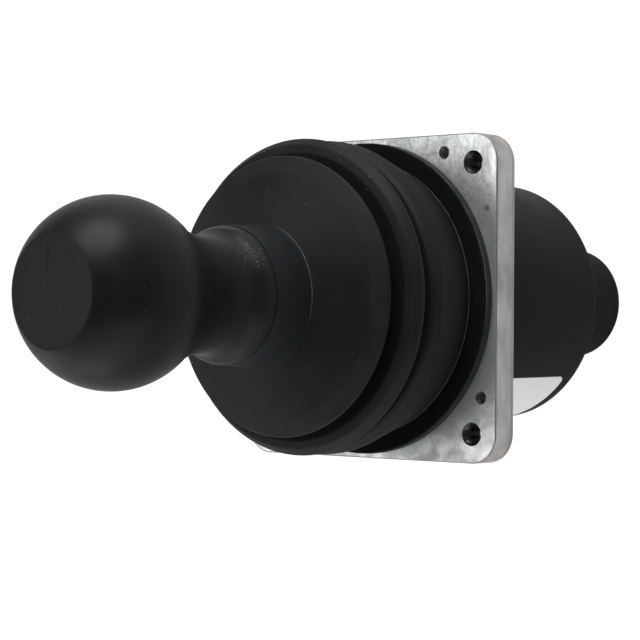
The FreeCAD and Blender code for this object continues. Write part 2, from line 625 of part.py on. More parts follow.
def make_sensor(prefix, face, angle):
    """A cup-shaped housing with two screwed ears, its screws and the rotor on the pin's end."""
    end = f"({face} + sensor_length)"
    inner = "(sensor_rad - sensor_wall)"
    housing = lathe(f"{prefix}_sensor_housing", [
        (face, inner), (face, "sensor_rad"), (f"{end} - sensor_edge", "sensor_rad"),
        (end, "sensor_rad - sensor_edge"), (end, ZERO), (f"{end} - sensor_end", ZERO),
        (f"{end} - sensor_end", inner),
    ], "H_Axis")
    ears = new_sketch(housing, "YZ_Plane", face)
    reach = "(ear_screw_reach + ear_head_rad + screw_clear)"
    trace(ears, box_corners(f"-{reach}", reach, "-ear_half", "ear_half"))
    ring(ears, ZERO, ZERO, f"{inner} + sensor_wall / 2")
    pad(housing, ears, "ear_thick")
    holes = new_sketch(housing, "YZ_Plane", face)
    for side in ("", "-"):
        ring(holes, f"{side}ear_screw_reach", ZERO, "ear_screw_rad + screw_clear / 2")
    pocket(housing, holes, "ear_thick", along=True)
    swing(housing, angle)
    lift(housing, PIVOT)

    fixings = new_body(f"{prefix}_sensor_screws")
    seat = f"({face} + ear_thick)"
    for side in ("", "-"):
        shank = new_sketch(fixings, "YZ_Plane", f"{face} - ear_screw_depth")
        ring(shank, f"{side}ear_screw_reach", ZERO, "ear_screw_rad")
        pad(fixings, shank, "ear_screw_depth + ear_thick")
        head = new_sketch(fixings, "YZ_Plane", seat)
        ring(head, f"{side}ear_screw_reach", ZERO, "ear_head_rad")
        pad(fixings, head, "ear_head_height")
    swing(fixings, angle)
    lift(fixings, PIVOT)

    near = f"({face} + rotor_gap)"
    rotor = lathe(f"{prefix}_sensor_rotor", [
        (near, "pin_rad"), (near, "rotor_rad"), (f"{near} + rotor_length", "rotor_rad"),
        (f"{near} + rotor_length", ZERO), (f"{near} + rotor_seat", ZERO),
        (f"{near} + rotor_seat", "pin_rad"),
    ], "H_Axis")
    swing(rotor, angle)
    lift(rotor, PIVOT)


def make_gimbal_ring():
    """Square ring: trunnions pressed in along X, bushes for the cross pin along Y."""
    body = new_body("gimbal_ring")
    sketch = new_sketch(body)
    trace(sketch, box_corners("-ring_half", "ring_half", "-ring_half", "ring_half"))
    ring(sketch, ZERO, ZERO, "ring_bore")
    pad(body, sketch, "ring_half_height * 2", middle=True)
    ease(body, "Fillet", "ring_corner", is_upright)
    trunnion = new_sketch(body, "YZ_Plane")
    ring(trunnion, ZERO, ZERO, "pin_rad")
    pocket(body, trunnion, "plate_side", middle=True)
    bush = new_sketch(body, "XZ_Plane")
    ring(bush, ZERO, ZERO, "bush_rad")
    pocket(body, bush, "plate_side", middle=True)
    threads = new_sketch(body, "XZ_Plane", "-ring_half")
    for side in ("", "-"):
        ring(threads, f"{side}ear_screw_reach", ZERO, "ear_screw_rad")
    pocket(body, threads, "ear_screw_depth", along=True)
    lift(body, PIVOT)

    pins = new_body("trunnion_pins")
    right = new_sketch(pins, "YZ_Plane", "ring_bore")
    ring(right, ZERO, ZERO, "pin_rad")
    pad(pins, right, f"{TOWER_OUT} + rotor_gap + rotor_seat - ring_bore")
    left = new_sketch(pins, "YZ_Plane", f"-{TOWER_OUT}")
    ring(left, ZERO, ZERO, "pin_rad")
    pad(pins, left, f"{TOWER_OUT} - ring_bore")
    lift(pins, PIVOT)

    bushes = lathe("cross_pin_bushes", [
        ("block_rad + thrust_gap", "pin_rad + run_clear"), ("ring_half", "pin_rad + run_clear"),
        ("ring_half", "bush_rad"), ("block_rad + thrust_gap", "bush_rad"),
    ], "H_Axis")
    repeat(bushes, [bushes.Tip], 2)
    swing(bushes, QUARTER_TURN)
    lift(bushes, PIVOT)


def make_lever():
    """Shaft, pivot block and cross pin, with the nuts and the hub that it carries."""
    hub_low = f"({RISE} + {HUB_LOW})"
    low_end = "(-block_half - washer_thick - lever_nut_thick - thread_tail)"
    top = f"({RISE} + {INSERT_HIGH} - insert_roof - stem_gap)"
    shaft = lathe("lever_shaft", [
        (ZERO, low_end), ("thread_rad - bevel", low_end), ("thread_rad", f"{low_end} + bevel"),
        ("thread_rad", "block_half"), ("stem_rad", "block_half"), ("stem_rad", hub_low),
        ("thread_rad", hub_low), ("thread_rad", f"{top} - bevel"), ("thread_rad - bevel", top),
        (ZERO, top),
    ])
    hole = new_sketch(shaft, "XZ_Plane")
    ring(hole, ZERO, ZERO, "pin_rad")
    pocket(shaft, hole, "plate_side", middle=True)
    lift(shaft, PIVOT)

    block = lathe("pivot_block", [
        ("thread_rad", "-block_half"), ("block_rad - bevel", "-block_half"),
        ("block_rad", "bevel - block_half"), ("block_rad", "block_half - bevel"),
        ("block_rad - bevel", "block_half"), ("thread_rad", "block_half"),
    ])
    hole = new_sketch(block, "XZ_Plane")
    ring(hole, ZERO, ZERO, "pin_rad")
    pocket(block, hole, "plate_side", middle=True)
    lift(block, PIVOT)

    far = "(ring_half + rotor_gap + rotor_seat)"
    pin = lathe("cross_pin", [
        ("-ring_half", ZERO), ("-ring_half", "pin_rad - bevel"), ("bevel - ring_half", "pin_rad"),
        (far, "pin_rad"), (far, ZERO),
    ], "H_Axis")
    swing(pin, QUARTER_TURN)
    lift(pin, PIVOT)

    washer = lathe("lever_washer", [
        ("thread_rad", "-block_half - washer_thick"), ("washer_rad", "-block_half - washer_thick"),
        ("washer_rad", "-block_half"), ("thread_rad", "-block_half"),
    ])
    lift(washer, PIVOT)
    make_nut("lever_nut", "lever_nut_flats", "thread_rad", "-block_half - washer_thick - lever_nut_thick",
             "lever_nut_thick", PIVOT)

    pilot = "(coil_high_rad - coil_wire_rad - pilot_clear)"
    hub = lathe("boot_hub", [
        ("stem_rad", f"{HUB_LOW} - pilot_depth"), (f"{pilot} - bevel", f"{HUB_LOW} - pilot_depth"),
        (pilot, f"{HUB_LOW} - pilot_depth + bevel"), (pilot, HUB_LOW),
        ("collar_bore - hub_clear", HUB_LOW), ("collar_bore - hub_clear", COLLAR_TOP),
        ("thread_rad", COLLAR_TOP), ("thread_rad", HUB_LOW), ("stem_rad", HUB_LOW),
    ])
    lift(hub, "plate_thick")
    make_nut("jam_nut", "jam_nut_flats", "thread_rad", COLLAR_TOP, "jam_nut_thick", "plate_thick")


def make_nut(label, flats, bore, low, thick, height):
    body = new_body(label)
    sketch = new_sketch(body, lift=low)
    trace(sketch, hexagon_corners(ZERO, flats))
    ring(sketch, ZERO, ZERO, bore)
    pad(body, sketch, thick)
    lift(body, height)


def make_knob():
    """Ball with a flat, a hollow waist and a short skirt, moulded round a threaded insert."""
    hollow = "((waist_rad ^ 2 + ball_rise ^ 2 - ball_rad ^ 2) / (2 * (ball_rad - waist_rad)))"
    share = f"(ball_rad / (ball_rad + {hollow}))"
    inset = "(waist_rad + flare_rad - skirt_rad)"
    belly = f"(({inset} ^ 2 + waist_rise ^ 2 - flare_rad ^ 2) / (2 * (flare_rad - {inset})))"
    part = f"({belly} / (flare_rad + {belly}))"
    keyed = [
        ("insert_rad", INSERT_LOW), ("insert_rad", f"{INSERT_LOW} + groove_rise"),
        ("insert_rad - groove_depth", f"{INSERT_LOW} + groove_rise"),
        ("insert_rad - groove_depth", f"{INSERT_LOW} + groove_rise + groove_width"),
        ("insert_rad", f"{INSERT_LOW} + groove_rise + groove_width"), ("insert_rad", INSERT_HIGH),
    ]
    knob = lathe("knob", [
        (ZERO, INSERT_HIGH), (ZERO, FLAT),
        ("sqrt(ball_rad ^ 2 - flat_rise ^ 2)", FLAT, "-ball_rad"),
        (f"{share} * (waist_rad + {hollow})", f"{BALL} - {share} * ball_rise", hollow),
        ("waist_rad", WAIST, "flare_rad"),
        (f"skirt_rad - {belly} + {part} * ({inset} + {belly})", f"{SKIRT} + {part} * waist_rise",
         f"-{belly}"),
        ("skirt_rad", SKIRT), ("knob_foot_rad", KNOB_FOOT),
        ("knob_pocket_rad", KNOB_FOOT), ("knob_pocket_rad", INSERT_LOW),
        *keyed,
    ])
    lift(knob, "plate_thick")
    insert = lathe("knob_insert", [
        ("thread_rad", INSERT_LOW), *keyed, (ZERO, INSERT_HIGH),
        (ZERO, f"{INSERT_HIGH} - insert_roof"), ("thread_rad", f"{INSERT_HIGH} - insert_roof"),
    ])
    lift(insert, "plate_thick")


def make_electronics():
    """Standoffs, the sensor board with what is soldered to it, and the wires to the contacts."""
    upper = new_body("upper_standoffs")
    sketch = new_sketch(upper, lift=BOARD_TOP)
    trace(sketch, hexagon_corners(POSTS, "post_flats"))
    column = pad(upper, sketch, f"{CARRIER_LOW} - {BOARD_TOP}")
    sketch = new_sketch(upper, lift=CARRIER_LOW)
    ring(sketch, POSTS, ZERO, "post_stud_rad")
    stud = pad(upper, sketch, "carrier_thick + post_stud_reach")
    sketch = new_sketch(upper, lift=BOARD_TOP)
    ring(sketch, POSTS, ZERO, "post_screw_rad")
    bore = pocket(upper, sketch, "post_screw_reach", along=True)
    repeat(upper, [column, stud, bore], FIXINGS)
    swing(upper, "post_angle")

    lower = new_body("lower_standoffs")
    sketch = new_sketch(lower, lift=FLOOR_IN)
    trace(sketch, hexagon_corners(POSTS, "post_flats"))
    column = pad(lower, sketch, "board_stand")
    sketch = new_sketch(lower, lift=BOARD_LOW)
    ring(sketch, POSTS, ZERO, "post_screw_rad")
    stud = pad(lower, sketch, "board_thick + post_screw_reach - bevel")
    sketch = new_sketch(lower, lift=FLOOR_IN)
    ring(sketch, POSTS, ZERO, "post_screw_rad")
    bore = pocket(lower, sketch, "post_screw_reach", along=True)
    repeat(lower, [column, stud, bore], FIXINGS)
    swing(lower, "post_angle")

    board = new_body("sensor_board")
    sketch = new_sketch(board, lift=BOARD_LOW)
    ring(sketch, ZERO, ZERO, f"{CAN_IN_RAD} - board_clear")
    for turn in range(0, 360, 360 // FIXINGS):
        ring(sketch, f"{POSTS} * cos({turn})", f"{POSTS} * sin({turn})", "post_screw_rad + screw_clear")
    pad(board, sketch, "board_thick")
    swing(board, "post_angle")

    parts = new_body("board_components")
    chip = new_sketch(parts, lift=BOARD_TOP)
    trace(chip, box_corners("-chip_side / 2", "chip_side / 2", "-chip_reach - chip_side", "-chip_reach"))
    pad(parts, chip, "chip_height")
    caps = new_sketch(parts, lift=BOARD_TOP)
    for side in ("", "-"):
        ring(caps, f"{side}cap_pitch / 2", "cap_reach", "cap_rad")
    pad(parts, caps, "cap_height")

    header = new_body("board_header")
    sketch = new_sketch(header, lift=HEADER_LOW)
    trace(sketch, box_corners("-header_half", "header_half", "-header_half", "header_half"))
    pad(header, sketch, "header_height")
    ease(header, "Fillet", "header_corner", is_upright)

    wires = new_body("lead_wires")
    sketch = new_sketch(wires, lift=f"{INSERT_BACK} + contact_tail")
    ring(sketch, "contact_circle", ZERO, "wire_lead_rad")
    repeat(wires, [pad(wires, sketch, f"{HEADER_LOW} - {INSERT_BACK} - contact_tail")], CONTACTS)


def make_can():
    """Deep can with a slight draft, screwed to the lower standoffs, and the gasket at its rim."""
    can = lathe("housing_can", [
        ("spigot_rad + screw_clear", "-can_depth"), (CAN_END_RAD, "-can_depth"), (CAN_RIM_RAD, RIM),
        (CAN_MOUTH, RIM), (CAN_IN_RAD, FLOOR_IN),
        ("spigot_rad + screw_clear", FLOOR_IN),
    ])
    ease(can, "Chamfer", "can_edge", lambda edge: is_circle(edge, CAN_END_RAD, "-can_depth"))
    holes = new_sketch(can, lift="-can_depth")
    for turn in range(0, 360, 360 // FIXINGS):
        ring(holes, f"{POSTS} * cos(post_angle + {turn})", f"{POSTS} * sin(post_angle + {turn})",
             "post_screw_rad + screw_clear")
    pocket(can, holes, "can_floor * 3", middle=True)
    lathe("can_gasket", [
        (CAN_MOUTH, RIM), (CAN_RIM_RAD, RIM), (CAN_RIM_RAD, "register_depth"), (CAN_MOUTH, "register_depth"),
    ])
    piece = screws("can_screws", POSTS, "post_screw_rad", "can_head_rad", "can_head_height",
                   "-can_depth", f"{FLOOR_IN} + post_screw_reach - bevel")
    swing(piece, "post_angle")


def make_label():
    """A blank band stuck round part of the can, following its draft."""
    draft = f"(can_draft / ({RIM} + can_depth))"
    low = "(label_inset - can_depth)"
    high = "(label_inset + label_length - can_depth)"
    low_rad = f"({CAN_END_RAD} + label_glue + {draft} * label_inset)"
    high_rad = f"({CAN_END_RAD} + label_glue + {draft} * (label_inset + label_length))"
    body = new_body("label")
    sketch = new_sketch(body, "XZ_Plane")
    trace(sketch, [(low_rad, low), (f"{low_rad} + label_thick", low), (f"{high_rad} + label_thick", high),
                   (high_rad, high)])
    revolve(body, sketch, angle="label_span_angle")
    thin = value("label_thick")
    ease(body, "Fillet", "label_corner", lambda edge: abs(edge.Length - thin) < NEAR)
    swing(body, "label_start_angle")


def make_connector():
    """Connector shell through the can's floor, its nut, the insert and the contacts."""
    neck_end = f"({FLOOR_IN} + ring_nut_thick + spigot_tail)"
    shell = lathe("connector_shell", [
        ("contact_bore", neck_end), ("spigot_rad", neck_end), ("spigot_rad", "-can_depth"),
        ("shell_rad", "-can_depth"), ("shell_rad", SHELL_END), ("socket_rad", SHELL_END),
        ("socket_rad", f"{SHELL_END} + socket_depth"), ("contact_bore", f"{SHELL_END} + socket_depth"),
    ])
    ease(shell, "Chamfer", "shell_edge", lambda edge: is_circle(edge, "shell_rad", SHELL_END))
    flats = "ring_nut_rad * 2 * cos(30)"
    make_nut("connector_nut", flats, "spigot_rad", FLOOR_IN, "ring_nut_thick", ZERO)

    insert = new_body("connector_insert")
    sketch = new_sketch(insert, lift=INSERT_FACE)
    ring(sketch, ZERO, ZERO, "contact_bore")
    for turn in range(0, 360, 360 // CONTACTS):
        ring(sketch, f"contact_circle * cos({turn})", f"contact_circle * sin({turn})", "contact_pin_rad")
    pad(insert, sketch, "insulator_thick")

    contacts = new_body("contact_pins")
    sketch = new_sketch(contacts, lift=f"{INSERT_FACE} - contact_stand")
    ring(sketch, "contact_circle", ZERO, "contact_pin_rad")
    pin = pad(contacts, sketch, "contact_stand + insulator_thick + contact_tail")
    repeat(contacts, [pin], CONTACTS)


make_mounting_plate()
make_boot()
make_gate_plate()
make_centring_spring()
make_gimbal_carrier()
make_trunnion_bushes()
make_sensor("x", TOWER_OUT, ZERO)
make_sensor("y", "ring_half", QUARTER_TURN)
make_gimbal_ring()
make_lever()
make_knob()
make_electronics()
make_can()
make_label()
make_connector()
doc.recompute()

# Every object has to be sound before anything is written
for item in doc.Objects:
    if "Invalid" in item.State or "Error" in item.State:
        raise ValueError(f"{item.Name} did not recompute")
pieces = [item for item in doc.Objects if item.TypeId in ("PartDesign::Body", "Part::Feature")]
for piece in pieces:
    if piece.Shape.isNull() or not piece.Shape.isValid() or not piece.Shape.Solids:
        raise ValueError(f"{piece.Label} has no sound solid")

os.makedirs("parts", exist_ok=True)
for piece in pieces:
    piece.Shape.exportStep(f"parts/{piece.Label}.step")
print(f"{len(pieces)} pieces")
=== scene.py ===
"""Looks of a two-axis joystick: ball knob, rubber boot, square die-cast plate, black can and connector.

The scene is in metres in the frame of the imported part: +Z up, the plate's underside at z = 0.
Sizes and outlines below are in millimetres. Heights on the boot, spring and knob count from the
plate's upper face, those on the can and the connector from its underside.
"""
import math
import random

import bmesh
import bpy
from mathutils import Matrix, Vector, noise


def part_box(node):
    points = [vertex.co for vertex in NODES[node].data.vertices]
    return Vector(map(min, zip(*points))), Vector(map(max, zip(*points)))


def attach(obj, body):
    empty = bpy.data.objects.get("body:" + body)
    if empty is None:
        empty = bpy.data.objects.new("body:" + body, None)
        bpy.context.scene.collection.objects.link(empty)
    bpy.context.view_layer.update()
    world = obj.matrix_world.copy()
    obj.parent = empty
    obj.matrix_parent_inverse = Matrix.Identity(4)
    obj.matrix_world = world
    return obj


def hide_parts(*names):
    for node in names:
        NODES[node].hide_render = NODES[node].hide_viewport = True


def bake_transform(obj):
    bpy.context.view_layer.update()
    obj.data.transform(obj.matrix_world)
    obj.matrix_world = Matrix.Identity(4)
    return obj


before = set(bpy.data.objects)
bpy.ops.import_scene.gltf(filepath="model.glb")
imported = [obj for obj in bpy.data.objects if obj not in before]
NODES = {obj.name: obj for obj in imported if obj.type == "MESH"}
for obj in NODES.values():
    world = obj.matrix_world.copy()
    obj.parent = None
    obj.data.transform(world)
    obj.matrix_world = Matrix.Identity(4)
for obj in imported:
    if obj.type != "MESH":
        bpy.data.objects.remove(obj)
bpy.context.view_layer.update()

MM = 0.001
REST_PLACE = "rest_place"

# The photograph's viewpoint, in metres
CAMERA_PLACE = Vector((0.3831, -0.0079, 0.4775))
CAMERA_TARGET = Vector((0.0, -0.0061, 0.0286))
CAMERA_ROLL = math.radians(0.37)
CAMERA_START = 0.01
LENS = 121.98
SENSOR = 36.0

# Floor, world and lamps: lengths in metres, power in watts
FLOOR_SIZE = 8.0
FLOOR_GAP = 0.0002
FLOOR_TONE = 0.66
FLOOR_GLOW = 1.22
FLOOR_SHARE_SEEN = 0.8
FLOOR_SHARE_GLOSSY = 0.12
WORLD_LIGHT = 0.22
WORLD_SEEN = 1.0
LAMP_AIM = Vector((0.0, 0.0, 0.03))
LAMPS = (
    # name, place, width, power
    ("key", (0.14, 1.0, 0.50), 0.85, 12.0),
    ("back", (-0.62, 0.05, 1.25), 0.8, 5.2),
    ("low", (-0.72, -1.1, 0.15), 1.6, 7.0),
    ("under", (0.46, -1.35, -0.06), 2.6, 24.0),
)

# Main levels from the frame, in metres
PLATE_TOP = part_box("mounting_plate")[1].z
PLATE_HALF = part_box("mounting_plate")[1].x
SEAT_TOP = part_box("gimbal_carrier")[1].z
CAN_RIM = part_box("can_gasket")[1].x
FLOOR_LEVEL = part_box("connector_shell")[0].z

# Fineness of the round shapes
TURN_STEPS = 240
CORNER_STEPS = 14
EDGE_STEPS = 4
OPENING_STEPS = 128
CORNER_HOLE_STEPS = 64
SMALL_HOLE_STEPS = 40
THREAD_STEPS = 48
THREAD_ROWS = 8
COIL_STEPS = 24
WIRE_SIDES = 12
BOOT_RUN = 1.2

# Plate, in millimetres; its looks are in the order of its material slots
CORNERS = ((1, 1), (-1, 1), (-1, -1), (1, -1))
PLATE_LOOKS = ("cast_aluminium", "tapped_bore", "drilled_bore")
PLATE_CORNER = 8.0
PLATE_EDGE = 0.45
LOWER_EDGE = 0.75
OPENING = 26.0
SEAT_CLEARANCE = 0.3
CORNER_HOLE = 3.175
CORNER_REACH = 36.5
THREAD_DEPTH = 0.42
THREAD_PITCH = 1.0
SMALL_HOLE = 1.75
SMALL_NEAR = 26.7
SMALL_FAR = 39.5
SMALL_PLACES = (
    (SMALL_NEAR, SMALL_FAR), (-SMALL_FAR, SMALL_NEAR),
    (-SMALL_NEAR, -SMALL_FAR), (SMALL_FAR, -SMALL_NEAR),
)
SMALL_DEPTH = 0.28
SMALL_PITCH = 0.9
HOLE_BEVEL = 0.45
THREAD_FADE = 0.4
THREAD_OVERLAP = 0.005

# Boot
BOOT_WALL = 2.1
BOOT_FOOT = 33.0
FLANGE_RADIUS = 43.1
FLANGE_HEIGHT = 3.1
VEE_HEIGHT = 25.0
VEE_RADIUS = 39.2
NECK_HEIGHT = 35.0
COLLAR_FOOT = 45.7
COLLAR_TOP = 57.9
COLLAR_BORE = 15.0
UNEVEN_SIZE = 17.0
UNEVEN_DEPTH = 0.12

# Centring spring
COIL_LOW_RADIUS = 20.8
COIL_HIGH_RADIUS = 13.0
COIL_HALF_TURNS = 10
COIL_SPLIT = 11.5
WIRE_RADIUS = 1.1

# Knob
KNOB_FOOT = 58.05
FOOT_RADIUS = 18.08
POCKET_RADIUS = 12.0
SKIRT_RADIUS = 18.0
SKIRT_HEIGHT = 59.15
FLARE_RADIUS = 8.0
WAIST_RADIUS = 15.1
WAIST_HEIGHT = 67.2
BALL_RADIUS = 24.14
BALL_HEIGHT = 98.85
FLAT_HEIGHT = 118.6
FLAT_MIDDLE = 7.0
INSERT_LOW = 64.9
INSERT_HIGH = 92.9
INSERT_RADIUS = 7.6
SCORE_X = -1.2
SCORE_ROWS = ((-3.6, 0.02), (3.5, 0.06), (5.5, 0.16), (12.0, 0.18))  # place along Y, half width

# Grains on the skirt; height in millimetres and turn in degrees, each as mean and spread
GRAIN_SEED = 7
GRAINS = 360
GRAIN_HEIGHT = (61.5, 1.8)
GRAIN_TURN = (41.0, 7.5)
GRAIN_SIZE = (0.08, 0.24)
GRAIN_SIDES = 5
GRAIN_MARGIN = 0.5

# Can and connector
CAN_END = -55.1
CAN_TOP = 1.0
CAN_END_RADIUS = 34.7
CAN_RIM_RADIUS = 35.3
CAN_WALL = 2.3
CAN_FLOOR = 2.6
NECK_RADIUS = 14.4
NECK_TOP = -48.0
NECK_CLEARANCE = 0.2
SHELL_RADIUS = 16.8
SHELL_BORE = 12.5
SHELL_SHADOW = 0.12
SOCKET_RADIUS = 13.3
SOCKET_DEPTH = 8.0

# Bands of the looks: low, high and the soft margin outside, in millimetres
# painted shade in the boot's groove between the rings and in the groove under the disc
SHADED_GROOVES = ((24.0, 27.6, 0.4), (32.1, 35.6, 0.15))
# painted highlight along the boot disc's rim
DISC_BRIM_HIGHLIGHT = (37.2, 38.6, 0.7)
# painted highlight: a light line along the flange's side, just under its top
FLANGE_RIM_HIGHLIGHT = (FLANGE_HEIGHT - 0.75, FLANGE_HEIGHT - 0.5, 0.12)
# painted shade on the flange's top, under the lower ring
FLANGE_STEP_SHADE = (FLANGE_HEIGHT - 0.35, FLANGE_HEIGHT + 0.25, 0.1)
# painted highlight: a light line along the foot lip
FOOT_LIP_HIGHLIGHT = (FLANGE_HEIGHT + 0.5, FLANGE_HEIGHT + 0.75, 0.1)
# painted highlight: a broken light line where the collar meets the disc
COLLAR_EDGE_HIGHLIGHT = (COLLAR_FOOT + 0.02, COLLAR_FOOT + 0.1, 0.05)
STRIP_ACROSS = (43.0, 44.2, 0.9)
STRIP_ALONG = (27.0, 40.0, 3.0)
SIDE_LINE = (0.9, 1.5, 0.3)
LABEL_FIELD = (-48.2, -13.0, 0.15)

# Round patches of the looks: place in X and Y, then the radii of the full and of the faded patch
CAST_MARK = (41.3, 24.3, 0.4, 1.3)
# painted sheen on the knob's skirt
SKIRT_SHEEN = (12.5, 11.5, 3.0, 8.0)

# Sockets of the colour mix node
MIX_FIRST = 6
MIX_SECOND = 7
MIX_RESULT = 2


def arc(centre, radius, first, last, step=3.0):
    """Points (radius, height, rounding 0) on a circle, from one angle to another, in degrees."""
    count = max(2, round(abs(last - first) / step))
    angles = [math.radians(first + (last - first) * i / count) for i in range(count + 1)]
    return [(centre[0] + radius * math.cos(a), centre[1] + radius * math.sin(a), 0.0) for a in angles]


def rounded(corners, step=9.0):
    """The closed outline through corners (radius, height, rounding), each rounding drawn as an arc."""
    points = []
    for i, (x, y, rounding) in enumerate(corners):
        here = Vector((x, y))
        back = Vector(corners[i - 1][:2]) - here
        ahead = Vector(corners[(i + 1) % len(corners)][:2]) - here
        if rounding == 0.0 or back.length < 1e-6 or ahead.length < 1e-6:
            points.append((x, y))
            continue
        opening = back.angle(ahead)
        reach = min(rounding / math.tan(opening / 2), 0.49 * back.length, 0.49 * ahead.length)
        radius = reach * math.tan(opening / 2)
        turn = math.pi - opening
        inward = (back.normalized() + ahead.normalized()).normalized()
        middle = here + inward * (radius / math.sin(opening / 2))
        start = here + back.normalized() * reach - middle
        side = 1 if back.x * ahead.y - back.y * ahead.x < 0 else -1
        count = max(2, math.ceil(math.degrees(turn) / step))
        for k in range(count + 1):
            spoke = Matrix.Rotation(side * turn * k / count, 2) @ start
            points.append(tuple(middle + spoke))
    return points


def divided(points, longest):
    """The closed outline with its long straight runs cut into shorter ones."""
    fine = []
    for i, (x, y) in enumerate(points):
        u, v = points[(i + 1) % len(points)]
        count = max(1, math.ceil(math.hypot(u - x, v - y) / longest))
        fine += [(x + (u - x) * k / count, y + (v - y) * k / count) for k in range(count)]
    return fine


def tube(rows, count, capped=True):
    """Faces round rows of count points each: quads from row to row, and a cap at each end."""
    faces = [tuple(range(count)), tuple(range((rows - 1) * count, rows * count))] if capped else []
    for row in range(rows - 1):
        here, there = row * count, (row + 1) * count
        for i in range(count):
            j = (i + 1) % count
            faces.append((here + i, here + j, there + j, there + i))
    return faces


def sharpen(mesh, limit):
    """Smooth shading, broken where two faces meet at more than limit degrees."""
    work = bmesh.new()
    work.from_mesh(mesh)
    for face in work.faces:
        face.smooth = True
    for edge in work.edges:
        edge.smooth = len(edge.link_faces) == 2 and edge.calc_face_angle() < math.radians(limit)
    work.to_mesh(mesh)
    work.free()


def add_object(name, vertices, faces, look, limit=40.0, closed=True):
    """A shown mesh with one material; a closed one gets outward normals and merged points."""
    mesh = bpy.data.meshes.new(name)
    mesh.from_pydata(vertices, [], faces)
    if closed:
        work = bmesh.new()
        work.from_mesh(mesh)
        bmesh.ops.remove_doubles(work, verts=work.verts, dist=1e-6)
        bmesh.ops.recalc_face_normals(work, faces=work.faces)
        work.to_mesh(mesh)
        work.free()
    sharpen(mesh, limit)
    mesh.materials.append(look)
    piece = bpy.data.objects.new(name, mesh)
    bpy.context.scene.collection.objects.link(piece)
    return piece


def lathe(name, outline, look, base=PLATE_TOP):
    """The closed outline swept round +Z; its heights count from base."""
    vertices = []
    for k in range(TURN_STEPS):
        turn = 2 * math.pi * k / TURN_STEPS
        across, up = math.cos(turn), math.sin(turn)
        vertices += [(r * MM * across, r * MM * up, base + h * MM) for r, h in outline]
    count = len(outline)
    faces = []
    for k in range(TURN_STEPS):
        here, there = k * count, (k + 1) % TURN_STEPS * count
        for i in range(count):
            j = (i + 1) % count
            faces.append((here + i, there + i, there + j, here + j))
    return add_object(name, vertices, faces, look)


def unevenness(piece, size, depth):
    """Pushes each point away from the axis or towards it by a soft noise, as moulded rubber has."""
    for vertex in piece.data.vertices:
        spot = vertex.co / (size * MM)
        push = noise.noise(spot) * depth * MM
        flat = Vector((vertex.co.x, vertex.co.y, 0.0))
        if flat.length > 1e-6:
            vertex.co += flat.normalized() * push


def keep_place(piece):
    """Writes each point's place at rest on the mesh, for a look that has to bend with the piece."""
    kept = piece.data.attributes.new(REST_PLACE, "FLOAT_VECTOR", "POINT")
    kept.data.foreach_set("vector", [number for vertex in piece.data.vertices for number in vertex.co])


def grey(tone):
    """A neutral colour."""
    return (tone, tone, tone)


def add_node(tree, kind, inputs=None, **settings):
    """A new node of the tree, with its settings and the values of its inputs."""
    node = tree.nodes.new(kind)
    for name, value in settings.items():
        setattr(node, name, value)
    for socket, value in (inputs or {}).items():
        node.inputs[socket].default_value = value
    return node


def empty_tree(owner):
    """The node tree of a material or world, with nothing in it."""
    owner.use_nodes = True
    owner.node_tree.nodes.clear()
    return owner.node_tree


